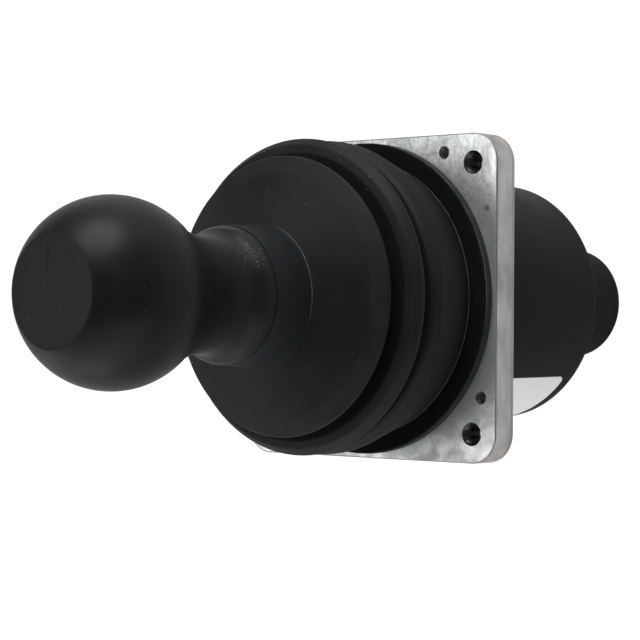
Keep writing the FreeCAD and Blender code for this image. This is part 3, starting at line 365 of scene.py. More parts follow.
class Look:
    """One material: a Principled shader and the nodes that feed it, in the part's own coordinates.

    A look that bends reads the place at rest that keep_place wrote on the mesh.
    """

    def __init__(self, name, colour, roughness, metallic=0.0, specular=0.5, bends=False):
        self.material = bpy.data.materials.new(name)
        self.tree = empty_tree(self.material)
        self.shader = self.add("ShaderNodeBsdfPrincipled", {
            "Base Color": (*colour, 1.0), "Roughness": roughness,
            "Metallic": metallic, "Specular IOR Level": specular,
        })
        output = self.add("ShaderNodeOutputMaterial")
        self.link(self.shader.outputs["BSDF"], output.inputs["Surface"])
        if bends:
            self.place = self.add("ShaderNodeAttribute", attribute_name=REST_PLACE).outputs["Vector"]
        else:
            self.place = self.add("ShaderNodeTexCoord").outputs["Object"]
        self.bumped = None

    def add(self, kind, inputs=None, **settings):
        return add_node(self.tree, kind, inputs, **settings)

    def link(self, source, target):
        self.tree.links.new(source, target)

    def feed(self, socket, value):
        """Joins value to the socket if it is another socket, else writes it there."""
        if isinstance(value, bpy.types.NodeSocket):
            self.link(value, socket)
        else:
            socket.default_value = value

    def stretched(self, x, y, z):
        """The part's coordinates, stretched by a factor along each axis."""
        node = self.add("ShaderNodeMapping", {"Scale": (x, y, z)})
        self.link(self.place, node.inputs["Vector"])
        return node.outputs["Vector"]

    def cloud(self, size, detail=4.0, roughness=0.55, distortion=0.0, place=None):
        """Noise from 0 to 1 whose lumps are about size mm across."""
        node = self.add("ShaderNodeTexNoise", {
            "Scale": 1 / (size * MM), "Detail": detail, "Roughness": roughness, "Distortion": distortion,
        })
        self.link(place or self.place, node.inputs["Vector"])
        return node.outputs["Fac"]

    def cells(self, size):
        """Distance to the nearest of the scattered points about size mm apart."""
        node = self.add("ShaderNodeTexVoronoi", {"Scale": 1 / (size * MM)})
        self.link(self.place, node.inputs["Vector"])
        return node.outputs["Distance"]

    def spread(self, source, low, high, first, last, curve="LINEAR"):
        """source between low and high becomes first to last."""
        node = self.add("ShaderNodeMapRange", interpolation_type=curve)
        self.feed(node.inputs["Value"], source)
        for name, value in (("From Min", low), ("From Max", high), ("To Min", first), ("To Max", last)):
            self.feed(node.inputs[name], value)
        return node.outputs["Result"]

    def maths(self, operation, first, second=0.0):
        node = self.add("ShaderNodeMath", operation=operation)
        self.feed(node.inputs[0], first)
        self.feed(node.inputs[1], second)
        return node.outputs["Value"]

    def plus(self, first, second):
        return self.maths("ADD", first, second)

    def minus(self, first, second):
        return self.maths("SUBTRACT", first, second)

    def times(self, first, second):
        return self.maths("MULTIPLY", first, second)

    def axis(self, letter):
        """One of the part's coordinates, in mm."""
        node = self.add("ShaderNodeSeparateXYZ")
        self.link(self.place, node.inputs["Vector"])
        return self.maths("DIVIDE", node.outputs[letter], MM)

    def length(self, across, along):
        """The length of the vector with these two parts."""
        return self.maths("SQRT", self.plus(self.times(across, across), self.times(along, along)))

    def nearness(self, x, y, full, none):
        """1 within full mm of a point of the X-Y plane, falling to 0 at none mm."""
        apart = self.length(self.minus(self.axis("X"), x), self.minus(self.axis("Y"), y))
        return self.spread(apart, full, none, 1.0, 0.0, "SMOOTHSTEP")

    def band(self, source, low, high, soft):
        """1 where source is between low and high, falling to 0 over the soft margin outside."""
        rise = self.spread(source, low - soft, low, 0.0, 1.0, "SMOOTHSTEP")
        fall = self.spread(source, high, high + soft, 1.0, 0.0, "SMOOTHSTEP")
        return self.times(rise, fall)

    def blend(self, factor, first, second):
        """Colour first where factor is 0, second where it is 1."""
        node = self.add("ShaderNodeMix", data_type="RGBA")
        self.feed(node.inputs["Factor"], factor)
        for slot, value in ((MIX_FIRST, first), (MIX_SECOND, second)):
            self.feed(node.inputs[slot], value if isinstance(value, bpy.types.NodeSocket) else (*value, 1.0))
        return node.outputs[MIX_RESULT]

    def mottled(self, source, low, high, first, second):
        """Colour first where source is low, second where it is high."""
        return self.blend(self.spread(source, low, high, 0.0, 1.0), first, second)

    def layers(self, colour, *layers):
        """The colour with each layer (mask, colour) laid over it in turn."""
        for mask, over in layers:
            colour = self.blend(mask, colour, over)
        return colour

    def colour(self, value):
        self.feed(self.shader.inputs["Base Color"], value)

    def roughness(self, value):
        self.feed(self.shader.inputs["Roughness"], value)

    def relief(self, source, depth, strength=1.0):
        """Adds a bump of depth mm where source is 1, over what is there already."""
        node = self.add("ShaderNodeBump", {"Strength": strength, "Distance": depth * MM})
        self.link(source, node.inputs["Height"])
        if self.bumped:
            self.link(self.bumped, node.inputs["Normal"])
        self.bumped = node.outputs["Normal"]
        self.link(self.bumped, self.shader.inputs["Normal"])


def rubber_look():
    """Matte black rubber with fine grain, a little bloom and scattered dust; the collar is smoother; shade is
    painted into the grooves, the lower wall and the flange's top, highlights along the disc's rim, the
    flange's side, the foot lip and the collar's edge, and the flange's side is painted lighter.
    """
    look = Look("boot_rubber", (0.012, 0.0125, 0.013), 0.6, specular=0.17, bends=True)
    look.relief(look.cloud(6.0, detail=2.0), 0.12, 0.5)
    look.relief(look.cloud(0.35, detail=3.0), 0.02, 0.6)
    patches = look.cloud(14.0, detail=3.0)
    height = look.minus(look.axis("Z"), PLATE_TOP / MM)
    upper = look.spread(look.axis("Y"), -9.0, 1.0, 0.0, 1.0)

    collar = look.spread(height, COLLAR_FOOT, COLLAR_FOOT + 1.0, 0.0, 1.0)
    # painted shade on the boot's lower wall, under the lower ring
    wall = look.spread(height, 18.5, 22.5, 0.55, 0.0)
    # painted shade in the grooves between the rings and under the disc
    deep = look.plus(*(look.band(height, *groove) for groove in SHADED_GROOVES))
    # painted highlight: a lighter band along the disc's rim
    brim = look.times(look.band(height, *DISC_BRIM_HIGHLIGHT),
                      look.spread(look.cloud(8.0, detail=3.0), 0.35, 0.65, 0.1, 0.8))
    lint = look.times(look.spread(look.cells(4.2), 0.028, 0.045, 1.0, 0.0),
                      look.spread(look.cloud(9.0, detail=0.0), 0.46, 0.52, 0.0, 1.0))
    # painted light: the flange's outer side is painted lighter than the rest of the rubber
    flange = look.spread(height, FLANGE_HEIGHT - 0.55, FLANGE_HEIGHT - 0.4, 1.0, 0.0)
    # painted highlight: a broken light line along the flange's side just under its top, on the side towards
    # +Y
    rim = look.times(look.band(height, *FLANGE_RIM_HIGHLIGHT),
                     look.times(upper, look.spread(look.cloud(3.0, detail=4.0), 0.35, 0.6, 0.1, 1.0)))
    # painted shade on the flange's top and the step up to the foot, under the overhanging ring
    step = look.band(height, *FLANGE_STEP_SHADE)
    # painted highlight: a broken light line along the foot lip
    lip = look.times(look.band(height, *FOOT_LIP_HIGHLIGHT),
                     look.spread(look.cloud(6.0, detail=3.0), 0.3, 0.6, 0.5, 1.0))
    # painted highlight: a broken light line where the collar meets the disc, on the side towards +Y and +X
    collar_glint_spread = look.times(upper, look.spread(look.cloud(2.2, detail=3.0), 0.3, 0.5, 0.35, 1.0))
    collar_glint_spread = look.times(collar_glint_spread, look.spread(look.axis("X"), 5.0, 11.0, 0.0, 1.0))
    collar_glint = look.times(look.band(height, *COLLAR_EDGE_HIGHLIGHT), collar_glint_spread)

    look.colour(look.layers(
        look.mottled(patches, 0.35, 0.75, (0.0085, 0.0086, 0.0087), (0.0135, 0.0137, 0.0138)),
        (collar, (0.0115, 0.0124, 0.0132)),
        (wall, grey(0.0035)),
        (look.times(deep, 0.8), grey(0.0015)),
        (brim, (0.0175, 0.0178, 0.018)),
        (lint, (0.16, 0.16, 0.15)),
        (flange, (0.021, 0.023, 0.022)),
        (rim, (0.09, 0.092, 0.09)),
        (look.times(step, 0.8), grey(0.0015)),
        (lip, grey(0.2)),
        (collar_glint, grey(0.14)),
    ))
    dull = look.maths("MAXIMUM", step, look.maths("MAXIMUM", deep, wall))
    rough = look.plus(look.spread(patches, 0.3, 0.8, 0.5, 0.66), look.times(dull, 0.3))
    look.roughness(look.spread(collar, 0.0, 1.0, rough, 0.44))
    return look.material


def knob_look():
    """Satin black moulding with fine grain, cloudy wear and a little dust; the skirt and the flat are painted
    lighter, and a painted sheen lies on the skirt's side towards +X and +Y.
    """
    look = Look("knob_plastic", (0.008, 0.008, 0.0085), 0.42, specular=0.16)
    look.relief(look.cloud(0.25, detail=2.0), 0.012, 0.6)
    look.relief(look.cloud(3.5, detail=2.0), 0.05, 0.35)
    cloudy = look.cloud(11.0, detail=4.0)
    height = look.axis("Z")
    thick = PLATE_TOP / MM

    # painted light: the skirt is painted lighter towards its foot
    skirt = look.spread(height, thick + 60.5, thick + 66.0, 0.6, 0.0)
    # painted sheen: a lighter patch on the skirt's side towards +X and +Y
    skirt_sheen = look.times(look.nearness(*SKIRT_SHEEN), look.band(height, thick + 60.5, thick + 64.0, 3.0))
    skirt_sheen = look.times(skirt_sheen, look.spread(look.cloud(1.6, detail=4.0), 0.35, 0.65, 0.3, 1.0))
    # the flat: its colour is painted lighter as a painted reflection, and it is rougher
    flat = look.spread(height, thick + FLAT_HEIGHT - 0.3, thick + FLAT_HEIGHT - 0.1, 0.0, 1.0)
    dust = look.spread(look.cells(5.0), 0.022, 0.034, 1.0, 0.0)

    look.colour(look.layers(
        look.mottled(cloudy, 0.3, 0.8, (0.0062, 0.0062, 0.0066), (0.0100, 0.0100, 0.0104)),
        (skirt, (0.0125, 0.0125, 0.0128)),
        (skirt_sheen, (0.019, 0.019, 0.02)),
        (look.times(flat, 0.8), (0.0125, 0.0128, 0.0134)),
        (dust, grey(0.10)),
    ))
    look.roughness(look.plus(look.times(flat, 0.14), look.spread(cloudy, 0.3, 0.8, 0.36, 0.48)))
    return look.material


def cast_look():
    """Bare die-cast aluminium: smeared faces, more mottled towards +Y, and smoother warm sides.

    A dark line runs round the upper edge, and a bright strip and a small casting mark lie on the face.
    """
    look = Look("cast_aluminium", (0.62, 0.62, 0.61), 0.4, metallic=1.0)
    broad = look.cloud(13.0, detail=3.0, distortion=0.5)
    soft = look.cloud(6.0, detail=7.0, roughness=0.52, distortion=1.0, place=look.stretched(0.85, 0.95, 0.35))
    hard = look.cloud(3.8, detail=8.0, roughness=0.62, distortion=1.6, place=look.stretched(1.0, 0.8, 0.35))
    upper = look.spread(look.axis("Y"), -10.0, 20.0, 0.1, 1.0)
    smear = look.plus(soft, look.times(upper, look.minus(hard, soft)))
    fine = look.cloud(0.7, detail=5.0, roughness=0.6)
    light = look.plus(look.times(smear, 0.5), look.times(fine, 0.2))
    light = look.plus(light, look.times(broad, 0.3))

    mark = look.nearness(*CAST_MARK)
    strip = look.times(look.band(look.axis("X"), *STRIP_ACROSS), look.band(look.axis("Y"), *STRIP_ALONG))
    strip = look.times(strip, look.spread(light, 0.4, 0.55, 0.3, 0.9))
    face = look.layers(
        look.mottled(light, 0.41, 0.59, (0.53, 0.55, 0.55), grey(0.92)),
        (look.times(mark, 0.8), (0.25, 0.26, 0.26)),
        (strip, grey(0.86)),
    )
    long = look.cloud(7.0, detail=3.0, distortion=0.4, place=look.stretched(1.0, 0.45, 1.0))
    side = look.layers(
        look.mottled(long, 0.35, 0.65, (0.40, 0.39, 0.38), (0.60, 0.59, 0.575)),
        (look.times(look.band(look.axis("Z"), *SIDE_LINE), 0.5), (0.26, 0.26, 0.25)),
    )

    # How far out a point lies from the rounding's centre line: the plate's corner radius at its rim
    straight = PLATE_HALF / MM - PLATE_CORNER
    edge = look.length(*(
        look.maths("MAXIMUM", look.minus(look.maths("ABSOLUTE", look.axis(letter)), straight), 0.0)
        for letter in "XY"))
    rim = look.spread(edge, PLATE_CORNER - 0.34, PLATE_CORNER - 0.26, 0.0, 1.0)
    top = look.spread(look.axis("Z"), PLATE_TOP / MM - 0.6, PLATE_TOP / MM - 0.3, 0.0, 1.0)
    look.colour(look.layers(
        face,
        (rim, side),
        (look.times(rim, look.times(top, 0.5)), grey(0.08)),
    ))
    look.roughness(look.minus(look.spread(light, 0.38, 0.62, 0.62, 0.44), look.times(strip, 0.1)))
    look.relief(smear, 0.14, 0.4)
    look.relief(fine, 0.05, 0.6)
    look.relief(mark, 0.12, 0.6)
    return look.material


def painted_look(name, colour, roughness, grain=0.3, depth=0.015):
    """Matte black paint or moulding with an even fine grain and faint cloudiness."""
    look = Look(name, colour, roughness, specular=0.08)
    look.relief(look.cloud(grain, detail=2.0), depth, 0.7)
    cloudy = look.cloud(12.0, detail=4.0)
    lighter = tuple(1.5 * part + 0.001 for part in colour)
    look.colour(look.mottled(cloudy, 0.3, 0.8, colour, lighter))
    look.roughness(look.spread(cloudy, 0.3, 0.8, roughness - 0.05, roughness + 0.07))
    return look.material


def label_look():
    """White coated paper film with a faintly greyer field and slight wrinkles."""
    look = Look("label_film", grey(0.8), 0.45)
    fibres = look.cloud(0.5, detail=4.0)
    field = look.band(look.axis("Z"), *LABEL_FIELD)
    look.colour(look.layers(
        look.mottled(fibres, 0.3, 0.7, grey(0.9), grey(0.95)),
        (look.times(field, 0.5), (0.90, 0.89, 0.92)),
    ))
    look.roughness(look.spread(fibres, 0.3, 0.7, 0.38, 0.52))
    look.relief(look.cloud(7.0, detail=2.0), 0.08, 0.4)
    return look.material


def metal_look(name, colour, roughness, streak=(1.0, 1.0, 6.0)):
    """Machined or plated metal with faint tool marks along one direction and cloudy tarnish."""
    look = Look(name, colour, roughness, metallic=1.0)
    marks = look.cloud(1.2, detail=5.0, place=look.stretched(*streak))
    darker = tuple(0.62 * part for part in colour)
    look.colour(look.mottled(look.cloud(6.0, detail=4.0), 0.35, 0.75, colour, darker))
    look.roughness(look.spread(marks, 0.3, 0.7, roughness - 0.1, roughness + 0.14))
    look.relief(marks, 0.02, 0.5)
    return look.material


def moulded_look(name, colour, roughness):
    """Moulded plastic or soft sleeve with fine texture and slightly uneven colour."""
    look = Look(name, colour, roughness)
    cloudy = look.cloud(5.0, detail=4.0)
    darker = tuple(0.7 * part for part in colour)
    look.colour(look.mottled(cloudy, 0.35, 0.75, colour, darker))
    look.roughness(look.spread(cloudy, 0.3, 0.8, roughness - 0.07, roughness + 0.08))
    look.relief(look.cloud(0.4, detail=2.0), 0.02, 0.6)
    return look.material


def laminate_look():
    """Green solder mask over woven glass, with the weave showing faintly."""
    look = Look("board_laminate", (0.02, 0.12, 0.05), 0.35)
    threads = []
    for letter in "XY":
        wave = look.add("ShaderNodeTexWave", {"Scale": 1 / (1.6 * MM)},
                        wave_type="BANDS", bands_direction=letter)
        look.link(look.place, wave.inputs["Vector"])
        threads.append(wave.outputs["Fac"])
    weave = look.times(*threads)
    look.colour(look.blend(weave, (0.012, 0.09, 0.035), (0.03, 0.16, 0.07)))
    look.relief(weave, 0.02, 0.5)
    return look.material


PAINT = (0.0075, 0.0075, 0.0073)
BRASS = (0.75, 0.55, 0.25)
PAINTED = {
    "can_black": (PAINT, 0.5),
    "shell_black": (PAINT, 0.55, 0.5, 0.03),
}
METALS = {
    "tapped_bore": (grey(0.12), 0.28),
    "drilled_bore": ((0.36, 0.37, 0.37), 0.34),
    "zinc_steel": ((0.62, 0.60, 0.54), 0.34),
    "screw_steel": (grey(0.58), 0.3, (6.0, 1.0, 1.0)),
    "spring_steel": ((0.42, 0.42, 0.43), 0.3, (1.0, 6.0, 1.0)),
    "bracket_aluminium": ((0.72, 0.72, 0.73), 0.38),
    "bronze": ((0.55, 0.36, 0.16), 0.42),
    "pin_steel": ((0.66, 0.66, 0.67), 0.22),
    "screw_black": ((0.045, 0.045, 0.048), 0.4),
    "standoff_brass": (BRASS, 0.3),
    "insert_brass": (BRASS, 0.34),
    "contact_gold": ((0.83, 0.62, 0.26), 0.22),
}
MOULDED = {
    "worn_plastic": ((0.019, 0.019, 0.020), 0.46),
    "sensor_plastic": ((0.018, 0.018, 0.02), 0.45),
    "rotor_plastic": ((0.5, 0.48, 0.42), 0.5),
    "hub_plastic": ((0.02, 0.02, 0.021), 0.5),
    "component_plastic": ((0.022, 0.022, 0.024), 0.42),
    "insert_plastic": ((0.03, 0.03, 0.032), 0.5),
    "gasket_rubber": (grey(0.02), 0.7),
    "wire_sleeve": ((0.35, 0.03, 0.02), 0.45),
}
LOOKS = {
    "cast_aluminium": cast_look(),
    "boot_rubber": rubber_look(),
    "knob_plastic": knob_look(),
    "label_film": label_look(),
    "board_laminate": laminate_look(),
}
for kind, table in ((painted_look, PAINTED), (metal_look, METALS), (moulded_look, MOULDED)):
    LOOKS.update({name: kind(name, *values) for name, values in table.items()})


def dress_nodes():
    """Gives every CAD node its procedural material, by the slot it was packed with."""
    for node in NODES.values():
        for slot in node.material_slots:
            slot.material = LOOKS[slot.material.name.split(".")[0]]


def make_boot():
    """The boot in two smooth halves that share one ring, deep in the groove between the rings."""
    cut_in, cut_out = (VEE_RADIUS - BOOT_WALL, VEE_HEIGHT, 0.0), (VEE_RADIUS, VEE_HEIGHT, 0.0)
    lower = rounded([
        # flange, foot lip and outer wall up to the groove
        (BOOT_FOOT, 0.0, 0.0), (FLANGE_RADIUS, 0.0, 0.3), (FLANGE_RADIUS, FLANGE_HEIGHT, 0.6),
        (37.3, FLANGE_HEIGHT, 0.3), (37.3, FLANGE_HEIGHT + 0.5, 0.1),
        (38.3, FLANGE_HEIGHT + 0.55, 0.14), (38.25, FLANGE_HEIGHT + 0.95, 0.2),
        (42.55, 18.8, 3.0), (42.6, 20.8, 1.4), (41.75, 23.1, 1.2), cut_out, cut_in,
        # inner wall, back to the foot
        (40.5, 20.0, 1.0), (35.9, FLANGE_HEIGHT, 0.8), (35.9, 1.2, 0.0), (BOOT_FOOT, 1.2, 0.0),
    ])
    upper = rounded([
        # upper ring and neck
        cut_out, (41.1, 26.8, 0.8), (42.6, 28.5, 1.2), (42.6, 29.5, 1.2), (40.9, 31.5, 1.5),
        (38.4, 32.1, 1.2), (33.5, 32.6, 1.0), (33.5, NECK_HEIGHT, 0.8),
        # disc and collar
        (37.15, 35.8, 0.5), (37.62, 36.3, 0.5), (37.3, 36.9, 0.55), (19.35, COLLAR_FOOT - 0.2, 0.12),
        (19.25, COLLAR_FOOT + 0.12, 0.1), (18.85, COLLAR_FOOT + 0.22, 0.15),
        (18.25, COLLAR_TOP, 0.15), (COLLAR_BORE, COLLAR_TOP, 0.0),
        # inner wall, back to the groove
        (COLLAR_BORE, 45.4, 0.0), (31.4, 37.4, 1.0), (31.4, 30.5, 1.0), (40.4, 29.0, 1.2), cut_in,
    ])
    halves = []
    for name, outline in (("boot_lower", lower), ("boot_upper", upper)):
        half = lathe(name, divided(outline, BOOT_RUN), LOOKS["boot_rubber"])
        unevenness(half, UNEVEN_SIZE, UNEVEN_DEPTH)
        keep_place(half)
        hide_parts("boot")
        halves.append(half)

    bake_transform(halves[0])
    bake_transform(halves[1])


def spring_rings(foot, head):
    """Rings of points round the spring's wire, whose first and last half turn lie flat."""
    path = []
    for k in range(COIL_HALF_TURNS * COIL_STEPS + 1):
        turn = k / COIL_STEPS
        radius = COIL_LOW_RADIUS + (COIL_HIGH_RADIUS - COIL_LOW_RADIUS) * turn / COIL_HALF_TURNS
        rise = min(max(turn - 1, 0), COIL_HALF_TURNS - 2) / (COIL_HALF_TURNS - 2)
        path.append(Vector((radius * math.cos(math.pi * turn), radius * math.sin(math.pi * turn),
                            foot + (head - foot) * rise)))
    rings = []
    for k, centre in enumerate(path):
        ahead = (path[min(k + 1, len(path) - 1)] - path[max(k - 1, 0)]).normalized()
        outward = Vector((centre.x, centre.y, 0.0)).normalized()
        upward = ahead.cross(outward).normalized()
        outward = upward.cross(ahead)
        rings.append([centre + (outward * math.cos(spin) + upward * math.sin(spin)) * WIRE_RADIUS
                      for spin in (2 * math.pi * side / WIRE_SIDES for side in range(WIRE_SIDES))])
    split = next(k for k, centre in enumerate(path) if centre.z >= COIL_SPLIT)
    return rings, split


def make_spring():
    """The centring spring in two lengths, one for each joint that it leans across."""
    foot, head = ((corner.z - PLATE_TOP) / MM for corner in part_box("centring_spring"))
    foot, head = foot + WIRE_RADIUS, head - WIRE_RADIUS
    rings, split = spring_rings(foot, head)
    halves = []
    for name, chosen in (("spring_lower", rings[:split + 1]), ("spring_upper", rings[split:])):
        vertices = [(p.x * MM, p.y * MM, p.z * MM + PLATE_TOP) for ring in chosen for p in ring]
        half = add_object(name, vertices, tube(len(chosen), WIRE_SIDES), LOOKS["spring_steel"])
        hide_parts("centring_spring")
        halves.append(half)
    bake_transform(halves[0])
    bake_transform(halves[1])


def make_knob():
    """Ball with a cut flat, hollow waist and short skirt, and the pocket that the jam nut sits in."""
    drop = BALL_HEIGHT - WAIST_HEIGHT
    hollow = (WAIST_RADIUS ** 2 + drop ** 2 - BALL_RADIUS ** 2) / (2 * (BALL_RADIUS - WAIST_RADIUS))
    touch = math.degrees(math.atan2(drop, WAIST_RADIUS + hollow))
    flat_angle = math.degrees(math.asin((FLAT_HEIGHT - BALL_HEIGHT) / BALL_RADIUS))
    inset = WAIST_RADIUS + FLARE_RADIUS - SKIRT_RADIUS
    fall = WAIST_HEIGHT - SKIRT_HEIGHT
    belly = (inset ** 2 + fall ** 2 - FLARE_RADIUS ** 2) / (2 * (FLARE_RADIUS - inset))
    bend = math.degrees(math.atan2(fall, inset + belly))
    ball = arc((0.0, BALL_HEIGHT), BALL_RADIUS, flat_angle, -touch)
    waist = arc((WAIST_RADIUS + hollow, WAIST_HEIGHT), hollow, 180 - touch, 180)
    throat = arc((WAIST_RADIUS + FLARE_RADIUS, WAIST_HEIGHT), FLARE_RADIUS, 180, 180 + bend)
    skirt = arc((SKIRT_RADIUS - belly, SKIRT_HEIGHT), belly, bend, 0)
    edge = (ball[0][0], ball[0][1], 1.2)
    outline = rounded(
        [(0.0, INSERT_HIGH, 0.0), (0.0, FLAT_HEIGHT, 0.0), (FLAT_MIDDLE, FLAT_HEIGHT, 0.0), edge]
        + ball[1:] + waist[1:] + throat[1:] + skirt[1:]
        + [(FOOT_RADIUS, KNOB_FOOT, 0.13), (POCKET_RADIUS, KNOB_FOOT, 0.2), (POCKET_RADIUS, INSERT_LOW, 0.0)]
        + [(INSERT_RADIUS, INSERT_LOW, 0.0), (INSERT_RADIUS, INSERT_HIGH, 0.0)]
    )
    knob = lathe("knob_body", outline, LOOKS["knob_plastic"])
    score(knob)
    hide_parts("knob")
    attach(knob, "lever")
    make_grains(skirt + throat)


def score(knob):
    """A fine scored line across part of the flat, shallower towards its lower end."""
    top = PLATE_TOP + FLAT_HEIGHT * MM
    vertices = []
    for along, half in SCORE_ROWS:
        for across, depth in ((-half, -0.05), (half, -0.05), (0.0, 1.1 * half)):
            vertices.append(((SCORE_X + across) * MM, along * MM, top - depth * MM))
    subtract(knob, add_object("cutter", vertices, tube(len(SCORE_ROWS), 3), LOOKS["knob_plastic"]))
    sharpen(knob.data, 40.0)


def make_grains(outline):
    """Coarse grains standing out of the skirt in one patch, moulded on with it."""
    chance = random.Random(GRAIN_SEED)
    heights = [point[1] for point in outline]
    lowest, highest = min(heights) + GRAIN_MARGIN, max(heights) - GRAIN_MARGIN
    upward = Vector((0.0, 0.0, 1.0))
    vertices, faces = [], []
    for grain in range(GRAINS):
        height = chance.gauss(*GRAIN_HEIGHT)
        turn = math.radians(chance.gauss(*GRAIN_TURN))
        if not lowest < height < highest:
            continue
        radius = min(outline, key=lambda point: abs(point[1] - height))[0]
        size = chance.uniform(*GRAIN_SIZE)
        centre = Vector((radius * math.cos(turn), radius * math.sin(turn), height))
        outward = Vector((math.cos(turn), math.sin(turn), 0.0))
        sideways = outward.cross(upward)
        first = len(vertices)
        for k in range(GRAIN_SIDES):
            spin = 2 * math.pi * k / GRAIN_SIDES + chance.uniform(-0.3, 0.3)
            spot = sideways * math.cos(spin) + upward * math.sin(spin)
            vertices.append((centre + spot * size * chance.uniform(0.8, 1.3) - outward * 0.05) * MM)
        tip, root = first + GRAIN_SIDES, first + GRAIN_SIDES + 1
        vertices.append((centre + outward * size * 0.8) * MM)
        vertices.append((centre - outward * 0.2) * MM)
        for k in range(GRAIN_SIDES):
            j = first + (k + 1) % GRAIN_SIDES
            faces += [(first + k, j, tip), (j, first + k, root)]
    vertices = [(x, y, z + PLATE_TOP) for x, y, z in vertices]
    grains = add_object("skirt_grains", vertices, faces, LOOKS["worn_plastic"], limit=20.0)
    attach(grains, "lever")


def slab(name, half, corner, rows, look):
    """A square slab with round corners, as rows (height, inset) from its underside up; all in mm."""
    vertices = []
    for height, inset in rows:
        for quarter, (sx, sy) in enumerate(CORNERS):
            for k in range(CORNER_STEPS + 1):
                turn = math.radians(90 * quarter + 90 * k / CORNER_STEPS)
                x = sx * (half - corner) + (corner - inset) * math.cos(turn)
                y = sy * (half - corner) + (corner - inset) * math.sin(turn)
                vertices.append((x * MM, y * MM, height * MM))
    return add_object(name, vertices, tube(len(rows), len(CORNERS) * (CORNER_STEPS + 1)), look)


def cut(piece, radius, low, high, place=(0.0, 0.0), steps=CORNER_HOLE_STEPS, wall="cast_aluminium"):
    """Takes a round hole out of the plate between two levels in metres; wall is the look of its wall."""
    vertices = []
    for z in (low, high):
        for k in range(steps):
            turn = 2 * math.pi * k / steps
            vertices.append(((place[0] + radius * math.cos(turn)) * MM,
                             (place[1] + radius * math.sin(turn)) * MM, z))
    tool = add_object("cutter", vertices, tube(2, steps), LOOKS[PLATE_LOOKS[0]])
    for look in PLATE_LOOKS[1:]:
        tool.data.materials.append(LOOKS[look])
    for face in tool.data.polygons:
        face.material_index = PLATE_LOOKS.index(wall)
    subtract(piece, tool)


def subtract(piece, tool):
    """Takes the tool's volume out of the piece and removes the tool."""
    modifier = piece.modifiers.new("hole", "BOOLEAN")
    modifier.operation = "DIFFERENCE"
    modifier.solver = "EXACT"
    modifier.object = tool
    bake(piece)
    bpy.data.objects.remove(tool)


def bake(piece):
    """Applies the piece's modifiers to its mesh."""
    graph = bpy.context.evaluated_depsgraph_get()
    mesh = bpy.data.meshes.new_from_object(piece.evaluated_get(graph))
    piece.modifiers.clear()
    piece.data = mesh


def make_plate():
    """The die-cast plate with eased edges, threaded corner holes, small holes, opening and seat."""
    thick = PLATE_TOP / MM
    rows = []
    for radius, middle, first in ((LOWER_EDGE, LOWER_EDGE, -90), (PLATE_EDGE, thick - PLATE_EDGE, 0)):
        for k in range(EDGE_STEPS + 1):
            turn = math.radians(first + 90 * k / EDGE_STEPS)
            rows.append((middle + radius * math.sin(turn), radius * (1 - math.cos(turn))))
    plate = slab("plate", PLATE_HALF / MM, PLATE_CORNER, rows, LOOKS[PLATE_LOOKS[0]])
    for look in PLATE_LOOKS[1:]:
        plate.data.materials.append(LOOKS[look])

    below, above = -MM, PLATE_TOP + MM
    cut(plate, OPENING, below, above, steps=OPENING_STEPS)
    cut(plate, CAN_RIM / MM + SEAT_CLEARANCE, below, SEAT_TOP, steps=OPENING_STEPS)
    for near, far in CORNERS:
        cut(plate, CORNER_HOLE, below, above, (near * CORNER_REACH, far * CORNER_REACH), wall="tapped_bore")
    for place in SMALL_PLACES:
        cut(plate, SMALL_HOLE, below, above, place, SMALL_HOLE_STEPS, "drilled_bore")

    ease = plate.modifiers.new("edges", "BEVEL")
    ease.width = PLATE_EDGE * MM
    ease.segments = 3
    ease.limit_method = "ANGLE"
    ease.angle_limit = math.radians(40)
    bake(plate)
    even = plate.modifiers.new("even", "WEIGHTED_NORMAL")
    even.keep_sharp = True
    for face in plate.data.polygons:
        face.use_smooth = True
    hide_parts("mounting_plate")
    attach(plate, "base")

    for near, far in CORNERS:
        make_thread(f"thread_{near + 1}{far + 1}", near * CORNER_REACH, far * CORNER_REACH,
                    CORNER_HOLE, THREAD_PITCH, THREAD_DEPTH, "tapped_bore")
    for number, (x, y) in enumerate(SMALL_PLACES):
        make_thread(f"small_thread_{number}", x, y, SMALL_HOLE, SMALL_PITCH, SMALL_DEPTH, "drilled_bore")


def make_thread(name, x, y, radius, pitch, depth, look):
    """The thread that lines a hole, a ridge running round inside it; the ridge fades out at both ends."""
    low, high = HOLE_BEVEL * MM, PLATE_TOP - HOLE_BEVEL * MM
    count = math.ceil((high - low) / MM / pitch * THREAD_ROWS)
    vertices = []
    for i in range(count + 1):
        z = low + (high - low) * i / count
        fade = min(1.0, (high - z) / (THREAD_FADE * MM), (z - low) / (THREAD_FADE * MM))
        for k in range(THREAD_STEPS):
            lead = (z / MM / pitch - k / THREAD_STEPS) % 1.0
            bore = radius + THREAD_OVERLAP - depth * fade * (1 - abs(2 * lead - 1))
            turn = 2 * math.pi * k / THREAD_STEPS
            vertices.append(((x + bore * math.cos(turn)) * MM, (y + bore * math.sin(turn)) * MM, z))
    inward = [(b, a, d, c) for a, b, c, d in tube(count + 1, THREAD_STEPS, capped=False)]
    thread = add_object(name, vertices, inward, LOOKS[look], limit=60.0, closed=False)
    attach(thread, "base")


